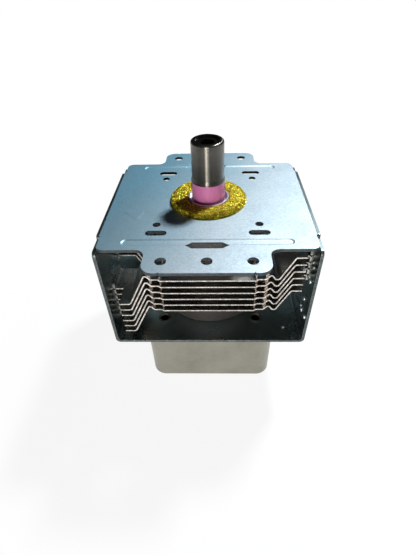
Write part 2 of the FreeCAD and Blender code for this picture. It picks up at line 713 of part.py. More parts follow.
def make_antenna_lead():
    """Copper lead from one vane, through the pole piece, to the pinched tube."""
    bend_start = VANE_TOP + ANTENNA_LEAD_STRAIGHT
    points = [
        VEC(ANTENNA_FOOT_RADIUS, 0, VANE_TOP),
        VEC(ANTENNA_FOOT_RADIUS, 0, bend_start),
        VEC(0, 0, bend_start + ANTENNA_LEAD_SLANT),
        VEC(0, 0, INSULATOR_TOP + EXHAUST_STRAIGHT),
    ]
    return bent_rod(points, ANTENNA_LEAD_RADIUS, ANTENNA_LEAD_BEND)


def make_exhaust_tube():
    """Flanged tube on the ceramic, pinched flat at its top."""
    top = INSULATOR_TOP + EXHAUST_STRAIGHT
    bore = EXHAUST_RADIUS - EXHAUST_WALL
    flange = INSULATOR_TOP + EXHAUST_FLANGE
    tube = revolved([
        (bore, INSULATOR_TOP, 0), (EXHAUST_FLANGE_RADIUS, INSULATOR_TOP, 0),
        (EXHAUST_FLANGE_RADIUS, flange, 0), (EXHAUST_RADIUS, flange, 0),
        (EXHAUST_RADIUS, top, 0), (bore, top, 0),
    ])
    circle = Part.Wire(Part.makeCircle(EXHAUST_RADIUS, VEC(0, 0, top)))
    edge = rounded_outline(rectangle(EXHAUST_PINCH_LENGTH, EXHAUST_PINCH_WIDTH))
    edge.translate(VEC(0, 0, top + EXHAUST_PINCH_HEIGHT))
    return tube.fuse(Part.makeLoft([circle, edge], True, False)).removeSplitter()


def make_antenna_cap():
    """Drawn cap over the tube, flared at its foot and recessed at its top."""
    foot = INSULATOR_TOP
    flare = foot + CAP_FLARE_HEIGHT
    recess = CAP_TOP - CAP_RECESS_DEPTH
    inner = CAP_RADIUS - CAP_SHEET
    return revolved([
        (CAP_FLARE_RADIUS, foot, 0), (CAP_FLARE_RADIUS, foot + CAP_FLARE_LIP, 0),
        (CAP_RADIUS, flare, 0), (CAP_RADIUS, CAP_TOP, CAP_EDGE_RADIUS),
        (CAP_RECESS_RADIUS, CAP_TOP, 0), (CAP_RECESS_RADIUS, recess, 0),
        (CAP_HOLE_RADIUS, recess, 0), (CAP_HOLE_RADIUS, recess - CAP_SHEET, 0),
        (inner, recess - CAP_SHEET, 0), (inner, flare, 0),
        (CAP_FLARE_RADIUS - CAP_SHEET, foot + CAP_FLARE_LIP, 0), (CAP_FLARE_RADIUS - CAP_SHEET, foot, 0),
    ])


def make_rf_gasket():
    """Ring of knitted wire around the antenna's sleeve, drawn with radial furrows."""
    top = PLATE_TOP + GASKET_HEIGHT
    gasket = revolved([
        (SEAL_TUBE_RADIUS, PLATE_TOP, 0), (GASKET_RADIUS, PLATE_TOP, 0),
        (GASKET_RADIUS, top, GASKET_EDGE_RADIUS), (SEAL_TUBE_RADIUS, top, GASKET_EDGE_RADIUS),
    ])
    half = GASKET_GROOVE_WIDTH / 2
    corners = [(-half, top, 0), (0, top - GASKET_GROOVE_DEPTH, 0), (half, top, 0)]
    furrow = prism(corners, 0, GASKET_RADIUS, "XZ")
    furrows = []
    for index in range(GASKET_GROOVES):
        turned = furrow.copy()
        turned.rotate(VEC(0, 0, 0), VEC(0, 0, 1), index * 360 / GASKET_GROOVES)
        furrows.append(turned)
    return gasket.cut(furrows)


def make_filament():
    """Wire helix between the two end hats."""
    height = FILAMENT_LENGTH - 2 * FILAMENT_WIRE_RADIUS
    helix = Part.makeHelix(height / FILAMENT_TURNS, height, FILAMENT_RADIUS)
    section = Part.Wire(Part.makeCircle(FILAMENT_WIRE_RADIUS, VEC(FILAMENT_RADIUS, 0, 0), VEC(0, 1, 0)))
    coil = Part.Wire(helix).makePipeShell([section], True, True)
    coil.translate(VEC(0, 0, ANODE_MIDDLE - height / 2))
    return coil


def make_upper_end_hat():
    """Disc that closes the top of the filament."""
    bottom = ANODE_MIDDLE + FILAMENT_LENGTH / 2
    return post(END_HAT_RADIUS, bottom, bottom + END_HAT_THICKNESS)


def make_lower_end_hat():
    """Disc under the filament, with a hole clear of the centre rod."""
    top = ANODE_MIDDLE - FILAMENT_LENGTH / 2
    return ring(END_HAT_RADIUS, LOWER_HAT_BORE_RADIUS, top - END_HAT_THICKNESS, top)


def make_centre_support_rod():
    """Rod from the stem, jogged onto the axis, up to the upper end hat."""
    jog = STEM_TOP + SUPPORT_JOG_START
    points = [
        VEC(-SUPPORT_OFFSET, 0, STEM_BOTTOM - SUPPORT_END_BELOW_STEM),
        VEC(-SUPPORT_OFFSET, 0, jog),
        VEC(0, 0, jog + SUPPORT_JOG_RISE),
        VEC(0, 0, ANODE_MIDDLE + FILAMENT_LENGTH / 2),
    ]
    return bent_rod(points, SUPPORT_RADIUS, SUPPORT_BEND_RADIUS)


def make_side_support_rod():
    """Straight rod from the stem to the lower end hat."""
    top = ANODE_MIDDLE - FILAMENT_LENGTH / 2 - END_HAT_THICKNESS
    return post(SUPPORT_RADIUS, STEM_BOTTOM - SUPPORT_END_BELOW_STEM, top, SUPPORT_OFFSET)


def make_stem_insulator():
    """Ceramic stem with a hole for each support rod."""
    stem = post(STEM_RADIUS, STEM_BOTTOM, STEM_TOP)
    for sign in SIGNS:
        stem = stem.cut(post(SUPPORT_RADIUS, STEM_BOTTOM, STEM_TOP, sign * SUPPORT_OFFSET))
    return stem


def make_stem_terminals():
    """Two small angles under the stem that join the rods to the chokes."""
    half = STEM_TERMINAL_WIDTH / 2
    low = STEM_BOTTOM - STEM_TERMINAL_DROP
    shelf = STEM_BOTTOM - STEM_TERMINAL_SHEET
    corners = [
        (STEM_TERMINAL_INNER, shelf, 0), (STEM_TERMINAL_REACH - STEM_TERMINAL_SHEET, shelf, 0),
        (STEM_TERMINAL_REACH - STEM_TERMINAL_SHEET, low, 0), (STEM_TERMINAL_REACH, low, 0),
        (STEM_TERMINAL_REACH, STEM_BOTTOM, 0), (STEM_TERMINAL_INNER, STEM_BOTTOM, 0),
    ]
    angle = prism(corners, -half, half, "XZ")
    angle = angle.cut(post(SUPPORT_RADIUS, shelf, STEM_BOTTOM, SUPPORT_OFFSET))
    return Part.makeCompound([angle.mirror(VEC(0, 0, 0), VEC(1, 0, 0)), angle])


def choke_run():
    """Start and end of the coil along Y, and how far each lead drifts along Y."""
    slope = CHOKE_PITCH / (2 * math.pi * CHOKE_RADIUS)
    drift_in = (CHOKE_OFFSET - STEM_TERMINAL_REACH - CHOKE_LEAD_GAP) * slope
    rod_side = TERMINAL_PITCH / 2 + TERMINAL_ROD_RADIUS + CHOKE_LEAD_GAP
    drift_out = (CHOKE_OFFSET - rod_side) * slope
    end = drift_in + (CHOKE_FULL_TURNS + 0.5) * CHOKE_PITCH
    return drift_in, end, drift_in, drift_out


def make_right_choke_coil():
    """Coil lying along Y: one lead in from the stem, one out to the connector."""
    start, end, drift_in, drift_out = choke_run()
    helix = Part.makeHelix(CHOKE_PITCH, end - start, CHOKE_RADIUS)
    helix.rotate(VEC(0, 0, 0), VEC(1, 1, 1), -120)
    helix.translate(VEC(CHOKE_OFFSET, start, CHOKE_AXIS))
    first = VEC(CHOKE_OFFSET, start, CHOKE_TOP)
    last = VEC(CHOKE_OFFSET, end, CONNECTOR_Z)
    lead_in = VEC(STEM_TERMINAL_REACH + CHOKE_LEAD_GAP, start - drift_in, CHOKE_TOP)
    rod_side = TERMINAL_PITCH / 2 + TERMINAL_ROD_RADIUS + CHOKE_LEAD_GAP
    lead_out = VEC(rod_side, end + drift_out, CONNECTOR_Z)
    edges = [Part.LineSegment(lead_in, first).toShape()] + helix.Edges
    edges.append(Part.LineSegment(last, lead_out).toShape())
    path = Part.Wire(Part.__sortEdges__(edges))
    section = Part.Wire(Part.makeCircle(CHOKE_WIRE_RADIUS, lead_in, first - lead_in))
    return path.makePipeShell([section], True, False)


def make_left_choke_coil():
    """Mirror image of the right coil."""
    return make_right_choke_coil().mirror(VEC(0, 0, 0), VEC(1, 0, 0))


def make_choke_cores():
    """Ferrite rods inside the two coils."""
    start, end, _, _ = choke_run()
    radius = CHOKE_RADIUS - CHOKE_WIRE_RADIUS - CHOKE_CORE_CLEARANCE
    length = end - start + 2 * CHOKE_CORE_OVERHANG
    base = start - CHOKE_CORE_OVERHANG
    return Part.makeCompound([
        Part.makeCylinder(radius, length, VEC(sign * CHOKE_OFFSET, base, CHOKE_AXIS), VEC(0, 1, 0))
        for sign in SIGNS
    ])


def cross_rods(radius, spacing, low, high):
    """Two cylinders along Y, side by side at the connector's height."""
    return [
        Part.makeCylinder(radius, high - low, VEC(sign * spacing / 2, low, CONNECTOR_Z), VEC(0, 1, 0))
        for sign in SIGNS
    ]


def terminal_rods(low, high):
    """Cylinders of the two terminal rods."""
    return cross_rods(TERMINAL_ROD_RADIUS, TERMINAL_PITCH, low, high)


def make_capacitor_ceramic():
    """Oval ceramic body of the feed-through capacitor."""
    front = BOX_REAR - BOX_SHEET - CONNECTOR_INSIDE
    rear = HOUSING_REAR - CONNECTOR_END_WALL
    body = stadium(CERAMIC_LENGTH, CERAMIC_WIDTH, front, rear, (0, CONNECTOR_Z), "XZ")
    return body.cut(terminal_rods(front, rear))


def make_capacitor_flange():
    """Earth plate between the connector and the box."""
    outline = rectangle(FLANGE_WIDTH, FLANGE_HEIGHT, FLANGE_CORNER_RADIUS, (0, CONNECTOR_Z))
    plate = prism(outline, BOX_REAR, FLANGE_REAR, "XZ")
    plate = plate.cut(
        stadium(CERAMIC_LENGTH, CERAMIC_WIDTH, BOX_REAR, FLANGE_REAR, (0, CONNECTOR_Z), "XZ")
    )
    return plate.cut(cross_rods(RIVET_RADIUS, RIVET_SPACING, BOX_REAR, FLANGE_REAR))


def make_connector_housing():
    """Moulded cover outside the box, closed but for the two terminals."""
    centre = (0, CONNECTOR_Z)
    housing = stadium(CONNECTOR_LENGTH, CONNECTOR_WIDTH, FLANGE_REAR, HOUSING_REAR, centre, "XZ")
    crest = [edge for edge in housing.Edges if edge.BoundBox.YMin > HOUSING_REAR - CONNECTOR_END_WALL]
    housing = housing.makeFillet(CONNECTOR_END_WALL / 2, crest)
    inside = HOUSING_REAR - CONNECTOR_END_WALL
    housing = housing.cut(stadium(CERAMIC_LENGTH, CERAMIC_WIDTH, FLANGE_REAR, inside, centre, "XZ"))
    return housing.cut(terminal_rods(inside, HOUSING_REAR))


def make_inner_housing():
    """Moulded sleeve round the ceramic inside the box."""
    centre = (0, CONNECTOR_Z)
    rear = BOX_REAR - BOX_SHEET
    front = rear - CONNECTOR_INSIDE
    length = CERAMIC_LENGTH + 2 * INNER_HOUSING_WALL
    width = CERAMIC_WIDTH + 2 * INNER_HOUSING_WALL
    sleeve = stadium(length, width, front, rear, centre, "XZ")
    return sleeve.cut(stadium(CERAMIC_LENGTH, CERAMIC_WIDTH, front, rear, centre, "XZ"))


def make_terminals():
    """Two rods through the capacitor, each ending in a push-on blade."""
    _, coil_end, _, drift_out = choke_run()
    front = coil_end + drift_out - TERMINAL_ROD_TAIL
    half = BLADE_WIDTH / 2
    tip = HOUSING_REAR + BLADE_LENGTH
    shoulder = tip - BLADE_TIP_TAPER
    blade_outline = [
        (-half, HOUSING_REAR, 0), (half, HOUSING_REAR, 0), (half, shoulder, 0),
        (half - BLADE_TIP_TAPER, tip, 0), (BLADE_TIP_TAPER - half, tip, 0), (-half, shoulder, 0),
    ]
    blade = prism(blade_outline, -BLADE_THICKNESS / 2, BLADE_THICKNESS / 2)
    hole_y = tip - BLADE_HOLE_FROM_TIP
    blade = blade.cut(post(BLADE_HOLE_RADIUS, -BLADE_THICKNESS, BLADE_THICKNESS, 0, hole_y))
    rods = terminal_rods(front, HOUSING_REAR + BLADE_ROOT)
    terminals = []
    for rod, sign in zip(rods, SIGNS):
        placed = blade.copy()
        placed.translate(VEC(sign * TERMINAL_PITCH / 2, 0, CONNECTOR_Z))
        terminals.append(rod.fuse(placed).removeSplitter())
    return Part.makeCompound(terminals)


def make_capacitor_rivets():
    """Rivets through the flange and the box's rear wall."""
    inner = BOX_REAR - BOX_SHEET
    rivets = []
    for sign in SIGNS:
        outline = [
            (0, inner - RIVET_HEAD_HEIGHT, 0), (RIVET_HEAD_RADIUS, inner - RIVET_HEAD_HEIGHT, 0),
            (RIVET_HEAD_RADIUS, inner, 0), (RIVET_RADIUS, inner, 0), (RIVET_RADIUS, FLANGE_REAR, 0),
            (RIVET_HEAD_RADIUS, FLANGE_REAR, 0),
            (RIVET_HEAD_RADIUS - RIVET_HEAD_HEIGHT / 2, FLANGE_REAR + RIVET_HEAD_HEIGHT, 0),
            (0, FLANGE_REAR + RIVET_HEAD_HEIGHT, 0),
        ]
        rivet = revolved(outline)
        rivet.rotate(VEC(0, 0, 0), VEC(1, 0, 0), -90)
        rivet.translate(VEC(sign * RIVET_SPACING / 2, 0, CONNECTOR_Z))
        rivets.append(rivet)
    return Part.makeCompound(rivets)


def save(name, shape):
    """Write one piece to its STEP file."""
    shape.exportStep("parts/" + name + ".step")


os.makedirs("parts", exist_ok=True)
save("filter_box", make_filter_box())
save("filter_box_lid", make_filter_box_lid())
save("yoke_frame", make_yoke_frame())
save("yoke_top_plate", make_yoke_top_plate())
save("lower_magnet", make_magnet(YOKE_FLOOR))
save("upper_magnet", make_magnet(UPPER_MAGNET_BOTTOM))
FIN_SHAPE = make_fin()
for number in range(FIN_COUNT):
    fin_copy = FIN_SHAPE.copy()
    fin_copy.translate(VEC(0, 0, PLATE_BOTTOM - FIN_TOP_BELOW_PLATE - number * FIN_PITCH))
    save("cooling_fin_%d" % (number + 1), fin_copy)
save("anode_cylinder", make_anode_cylinder())
save("anode_vanes", make_anode_vanes())
save("strap_rings", make_strap_rings())
save("upper_pole_piece", make_upper_pole_piece())
save("lower_pole_piece", make_pole_piece(ANODE_BOTTOM, -1))
save("upper_seal_cup", make_upper_seal_cup())
save("lower_seal_cup", make_lower_seal_cup())
save("antenna_lead", make_antenna_lead())
save("antenna_insulator", ring(INSULATOR_RADIUS, INSULATOR_BORE_RADIUS, INSULATOR_BOTTOM, INSULATOR_TOP))
save("exhaust_tube", make_exhaust_tube())
save("antenna_cap", make_antenna_cap())
save("rf_gasket", make_rf_gasket())
save("cathode_filament", make_filament())
save("upper_end_hat", make_upper_end_hat())
save("lower_end_hat", make_lower_end_hat())
save("centre_support_rod", make_centre_support_rod())
save("side_support_rod", make_side_support_rod())
save("stem_insulator", make_stem_insulator())
save("stem_terminals", make_stem_terminals())
save("left_choke_coil", make_left_choke_coil())
save("right_choke_coil", make_right_choke_coil())
save("choke_cores", make_choke_cores())
save("capacitor_ceramic", make_capacitor_ceramic())
save("capacitor_flange", make_capacitor_flange())
save("connector_housing", make_connector_housing())
save("inner_housing", make_inner_housing())
save("terminal_blades", make_terminals())
save("capacitor_rivets", make_capacitor_rivets())
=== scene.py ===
"""Looks of a microwave oven's magnetron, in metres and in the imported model's frame.

+Z runs up the antenna, X runs across the yoke from wall to wall, and Y runs
through the cooling fins, with the filament connector at the rear.
"""

import json
import logging
import math
import random
from collections.abc import Callable, Iterable
from dataclasses import dataclass, field
from enum import Enum

import bmesh
import bpy
from mathutils import Matrix, Vector

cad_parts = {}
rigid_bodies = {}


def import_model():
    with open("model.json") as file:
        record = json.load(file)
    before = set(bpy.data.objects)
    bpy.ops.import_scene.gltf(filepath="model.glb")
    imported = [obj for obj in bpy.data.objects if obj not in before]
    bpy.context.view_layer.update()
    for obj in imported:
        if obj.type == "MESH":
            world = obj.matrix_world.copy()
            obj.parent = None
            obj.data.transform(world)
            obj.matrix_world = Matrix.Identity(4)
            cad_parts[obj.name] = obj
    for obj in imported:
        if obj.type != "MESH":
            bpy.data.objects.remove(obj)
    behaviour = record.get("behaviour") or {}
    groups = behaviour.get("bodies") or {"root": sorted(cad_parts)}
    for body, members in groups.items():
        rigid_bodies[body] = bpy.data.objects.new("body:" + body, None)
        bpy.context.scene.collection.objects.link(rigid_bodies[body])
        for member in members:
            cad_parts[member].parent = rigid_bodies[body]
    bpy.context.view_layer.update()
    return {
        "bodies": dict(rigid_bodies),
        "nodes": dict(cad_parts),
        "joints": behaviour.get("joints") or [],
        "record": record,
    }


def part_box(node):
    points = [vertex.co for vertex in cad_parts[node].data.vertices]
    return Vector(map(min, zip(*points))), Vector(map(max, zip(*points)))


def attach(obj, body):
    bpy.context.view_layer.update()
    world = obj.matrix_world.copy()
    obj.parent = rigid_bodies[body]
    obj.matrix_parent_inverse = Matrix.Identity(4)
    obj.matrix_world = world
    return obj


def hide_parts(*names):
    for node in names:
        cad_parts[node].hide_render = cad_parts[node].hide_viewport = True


LOG = logging.getLogger("magnetron")
MM = 0.001
BODY = "root"

Colour = tuple[float, float, float]
Axes = tuple[float, float, float]
Range = tuple[float, float]
Socket = bpy.types.NodeSocket
Feed = Socket | float | int | Colour | Vector

VECTOR = "NodeSocketVector"
FLOAT = "NodeSocketFloat"
PLACE_AND_SCALE = {"Place": VECTOR, "Scale": FLOAT}

# Numbers of a mix node's first input, second input and output, for each kind of value
MIX_SOCKETS = {"RGBA": (6, 7, 2), "VECTOR": (4, 5, 1)}


class Graph:
    """Places shader nodes in one tree and links them."""

    def __init__(self, tree: bpy.types.NodeTree) -> None:
        """Work on one node tree.

        Args:
            tree: The tree that the nodes go into.
        """
        self.tree = tree

    def add(
        self, kind: str, feeds: dict[str | int, Feed] | None = None, **settings
    ) -> bpy.types.Node:
        """Add one node.

        Args:
            kind: Type name of the node.
            feeds: Value or source socket for each input, by name or number.
            settings: Properties of the node itself.

        Returns:
            The new node.
        """
        node = self.tree.nodes.new(kind)
        for name, value in settings.items():
            setattr(node, name, value)
        for key, value in (feeds or {}).items():
            self.feed(node.inputs[key], value)
        return node

    def feed(self, socket: Socket, value: Feed) -> None:
        """Link a source to an input, or set the input's own value.

        Args:
            socket: The input.
            value: A source socket, or a plain value.
        """
        if isinstance(value, bpy.types.NodeSocket):
            self.tree.links.new(value, socket)
        elif socket.type == "RGBA":
            socket.default_value = (*value[:3], 1.0)
        else:
            socket.default_value = value

    def calc(self, operation: str, first: Feed, second: Feed = 0.0) -> Socket:
        """Return the result of one arithmetic step.

        Args:
            operation: Name of the step.
            first: First operand.
            second: Second operand.
        """
        feeds = {0: first, 1: second}
        return self.add("ShaderNodeMath", feeds, operation=operation).outputs[0]

    def weigh(self, *parts: tuple[Feed, float]) -> Socket:
        """Return the weighted mean of several values.

        Args:
            parts: Each value with its weight.
        """
        total = self.calc("MULTIPLY", *parts[0])
        for part in parts[1:]:
            total = self.calc("ADD", total, self.calc("MULTIPLY", *part))
        return self.calc("DIVIDE", total, sum(weight for _, weight in parts))

    def vectors(self, operation: str, first: Feed, second: Feed | None = None) -> Socket:
        """Return the result of one step of vector arithmetic.

        Args:
            operation: Name of the step.
            first: First operand.
            second: Second operand, which a length does without.
        """
        feeds = {0: first} if second is None else {0: first, 1: second}
        outputs = self.add("ShaderNodeVectorMath", feeds, operation=operation).outputs
        return outputs["Value" if operation in ("DOT_PRODUCT", "LENGTH") else "Vector"]

    def remap(
        self, value: Feed, low: Feed, high: Feed, start: float = 0.0, end: float = 1.0
    ) -> Socket:
        """Return a value moved from one range to another and held inside it.

        Args:
            value: The value.
            low: Where the old range starts.
            high: Where the old range ends.
            start: Result at the old range's start.
            end: Result at the old range's end.
        """
        feeds = {"Value": value, "From Min": low, "From Max": high, "To Min": start, "To Max": end}
        return self.add("ShaderNodeMapRange", feeds).outputs["Result"]

    def blend(self, factor: Feed, first: Feed, second: Feed, kind: str = "RGBA") -> Socket:
        """Return a colour or a vector between two others.

        Args:
            factor: 0 gives the first, 1 the second.
            first: First colour or vector.
            second: Second colour or vector.
            kind: Kind of value that is mixed.
        """
        start, end, result = MIX_SOCKETS[kind]
        feeds = {0: factor, start: first, end: second}
        return self.add("ShaderNodeMix", feeds, data_type=kind).outputs[result]

    def noise(self, place: Feed, scale: Feed, detail: float, rough: float = 0.5) -> Socket:
        """Return fractal noise.

        Args:
            place: Where the noise is read.
            scale: Features per metre.
            detail: Octaves.
            rough: Share of the fine octaves.
        """
        feeds = {"Vector": place, "Scale": scale, "Detail": detail, "Roughness": rough}
        return self.add("ShaderNodeTexNoise", feeds).outputs[0]


class Effect(Enum):
    """Surface effects that several finishes share."""

    CLOUDS = "cloudy_tone"
    GRAINS = "plated_grains"
    ROLLING = "rolling_lines"
    TURNING = "turning_lines"
    SHEARED = "sheared_faces"
    SCRATCHES = "handling_scratches"


class EffectShop:
    """Builds each shared effect once, as a node group, and places it where a finish asks."""

    GRAIN_FINENESS = 1.7
    SCRATCH_WIDTH = 0.006
    SCRATCH_BEND = 1.4

    def __init__(self) -> None:
        """Start with no group built."""
        self.groups: dict[Effect, bpy.types.NodeTree] = {}
        self.recipes: dict[Effect, Callable[[], bpy.types.NodeTree]] = {
            Effect.CLOUDS: self.clouds,
            Effect.GRAINS: self.grains,
            Effect.ROLLING: self.rolling,
            Effect.TURNING: self.turning,
            Effect.SHEARED: self.sheared,
            Effect.SCRATCHES: self.scratches,
        }

    def place(self, graph: Graph, effect: Effect, feeds: dict[str, Feed]) -> bpy.types.Node:
        """Put one effect into a material.

        Args:
            graph: The material's graph.
            effect: Which effect.
            feeds: Value or source for each of the group's inputs.

        Returns:
            The group node.
        """
        if effect not in self.groups:
            self.groups[effect] = self.recipes[effect]()
        node = graph.add("ShaderNodeGroup", node_tree=self.groups[effect])
        for name, value in feeds.items():
            graph.feed(node.inputs[name], value)
        return node

    def lay(self, graph: Graph, effect: Effect, place: Feed, scale: float) -> dict[str, Socket]:
        """Put an effect that needs only a place and a scale into a material.

        Args:
            graph: The material's graph.
            effect: Which effect.
            place: Where the effect is read.
            scale: Features per metre.

        Returns:
            The effect's results by name.
        """
        return self.place(graph, effect, {"Place": place, "Scale": scale}).outputs

    @staticmethod
    def start(
        effect: Effect, inputs: dict[str, str], outputs: Iterable[str]
    ) -> tuple[Graph, dict[str, Socket], dict[str, Socket]]:
        """Open a group with its sockets.

        Args:
            effect: The effect that the group makes.
            inputs: Socket kind for each input's name.
            outputs: Names of the outputs, all plain values.

        Returns:
            The group's graph, its sources by input name and its ends by output name.
        """
        tree = bpy.data.node_groups.new(effect.value, "ShaderNodeTree")
        for name, kind in inputs.items():
            tree.interface.new_socket(name, in_out="INPUT", socket_type=kind)
        for name in outputs:
            tree.interface.new_socket(name, in_out="OUTPUT", socket_type=FLOAT)
        graph = Graph(tree)
        entry = graph.add("NodeGroupInput")
        leave = graph.add("NodeGroupOutput")
        sources = {name: entry.outputs[name] for name in inputs}
        ends = {name: leave.inputs[name] for name in outputs}
        return graph, sources, ends

    def clouds(self) -> bpy.types.NodeTree:
        """Return soft uneven tone, as on plated or handled metal."""
        graph, source, end = self.start(Effect.CLOUDS, PLACE_AND_SCALE, ["Tone"])
        wide = graph.noise(source["Place"], source["Scale"], detail=5.0, rough=0.6)
        graph.feed(end["Tone"], graph.remap(wide, low=0.32, high=0.68))
        return graph.tree

    def grains(self) -> bpy.types.NodeTree:
        """Return fine light and dark grains with their relief."""
        graph, source, end = self.start(Effect.GRAINS, PLACE_AND_SCALE, ["Tone", "Relief"])
        feeds = {"Vector": source["Place"], "Scale": source["Scale"]}
        cells = graph.add("ShaderNodeTexVoronoi", feeds).outputs["Color"]
        tone = graph.add("ShaderNodeSeparateColor", {0: cells}).outputs[0]
        finer = graph.calc("MULTIPLY", source["Scale"], self.GRAIN_FINENESS)
        fine = graph.noise(source["Place"], finer, detail=2.0, rough=0.7)
        graph.feed(end["Tone"], graph.remap(graph.calc("ADD", tone, fine), low=0.3, high=1.7))
        graph.feed(end["Relief"], fine)
        return graph.tree

    def rolling(self) -> bpy.types.NodeTree:
        """Return faint straight lines, left by the mill's rolls or a die."""
        inputs = {"Place": VECTOR, "Lines": VECTOR}
        graph, source, end = self.start(Effect.ROLLING, inputs, ["Tone"])
        place = graph.vectors("MULTIPLY", source["Place"], source["Lines"])
        drawn = graph.noise(place, 1.0, detail=4.0, rough=0.65)
        graph.feed(end["Tone"], graph.remap(drawn, low=0.3, high=0.7))
        return graph.tree

    def turning(self) -> bpy.types.NodeTree:
        """Return lines that run round the antenna's axis, as drawing and turning leave them."""
        graph, source, end = self.start(Effect.TURNING, PLACE_AND_SCALE, ["Tone"])
        axes = graph.add("ShaderNodeSeparateXYZ", {0: source["Place"]}).outputs
        squares = [graph.calc("POWER", axis, 2.0) for axis in axes[:2]]
        radius = graph.calc("SQRT", graph.calc("ADD", *squares))
        ring = graph.add("ShaderNodeCombineXYZ", {0: radius, 1: 0.0, 2: axes[2]}).outputs[0]
        turned = graph.noise(ring, source["Scale"], detail=4.0, rough=0.7)
        graph.feed(end["Tone"], graph.remap(turned, low=0.3, high=0.7))
        return graph.tree

    def sheared(self) -> bpy.types.NodeTree:
        """Return a mask of the faces that look along one axis, or away from it."""
        inputs = {"Facing": VECTOR, "Axis": VECTOR, "From": FLOAT, "To": FLOAT}
        graph, source, end = self.start(Effect.SHEARED, inputs, ["Mask"])
        along = graph.vectors("DOT_PRODUCT", source["Facing"], source["Axis"])
        along = graph.calc("ABSOLUTE", along)
        graph.feed(end["Mask"], graph.remap(along, source["From"], source["To"]))
        return graph.tree

    def scratches(self) -> bpy.types.NodeTree:
        """Return thin scattered lines left by handling."""
        graph, source, end = self.start(Effect.SCRATCHES, PLACE_AND_SCALE, ["Mask"])
        feeds = {"Vector": source["Place"], "Scale": source["Scale"], "Detail": 1.0}
        wander = graph.add("ShaderNodeTexNoise", feeds | {"Distortion": self.SCRATCH_BEND})
        off = graph.calc("ABSOLUTE", graph.calc("SUBTRACT", wander.outputs[0], 0.5))
        line = graph.remap(off, low=0.0, high=self.SCRATCH_WIDTH, start=1.0, end=0.0)
        patches = graph.noise(source["Place"], source["Scale"], detail=2.0)
        where = graph.remap(patches, low=0.52, high=0.62)
        graph.feed(end["Mask"], graph.calc("MULTIPLY", line, where))
        return graph.tree


@dataclass(frozen=True)
class Finish:
    """What every finish has: a name, a light and a dark tone, and how it shines.

    The roughness falls from duller to shinier while the tone runs through its range.
    """

    name: str
    colour: Colour
    roughness: float
    shade: Colour
    tone_range: Range = (0.1, 0.9)
    duller: float = 0.06
    shinier: float = 0.04

    def build(self, shop: EffectShop) -> bpy.types.Material:
        """Make the material.

        Args:
            shop: Where the shared effects come from.

        Returns:
            The material, ready to be put on a piece.
        """
        material = bpy.data.materials.new(self.name)
        material.use_nodes = True
        material.node_tree.nodes.clear()
        graph = Graph(material.node_tree)
        feeds = {"Base Color": self.colour, "Roughness": self.roughness}
        shader = graph.add("ShaderNodeBsdfPrincipled", feeds)
        graph.add("ShaderNodeOutputMaterial", {"Surface": shader.outputs[0]})
        place = graph.add("ShaderNodeTexCoord").outputs["Object"]
        self.dress(graph, shop, shader, place)
        return material

    def dress(
        self, graph: Graph, shop: EffectShop, shader: bpy.types.Node, place: Socket
    ) -> None:
        """Give the shader its pattern.

        Args:
            graph: The material's graph.
            shop: Where the shared effects come from.
            shader: The surface shader.
            place: Object coordinates.
        """
        raise NotImplementedError

    def gloss(self, graph: Graph, tone: Socket) -> Socket:
        """Return a roughness that falls where the tone is lighter.

        Args:
            graph: The material's graph.
            tone: The tone.
        """
        dull = self.roughness + self.duller
        bright = self.roughness - self.shinier
        return graph.remap(tone, *self.tone_range, start=dull, end=bright)

    @staticmethod
    def emboss(graph: Graph, shader: bpy.types.Node, height: Socket, depth: float) -> None:
        """Give the surface relief.

        Args:
            graph: The material's graph.
            shader: The surface shader.
            height: Relief from 0 to 1.
            depth: Metres from 0 to 1.
        """
        bump = graph.add("ShaderNodeBump", {"Height": height, "Distance": depth, "Strength": 1.0})
        graph.feed(shader.inputs["Normal"], bump.outputs[0])


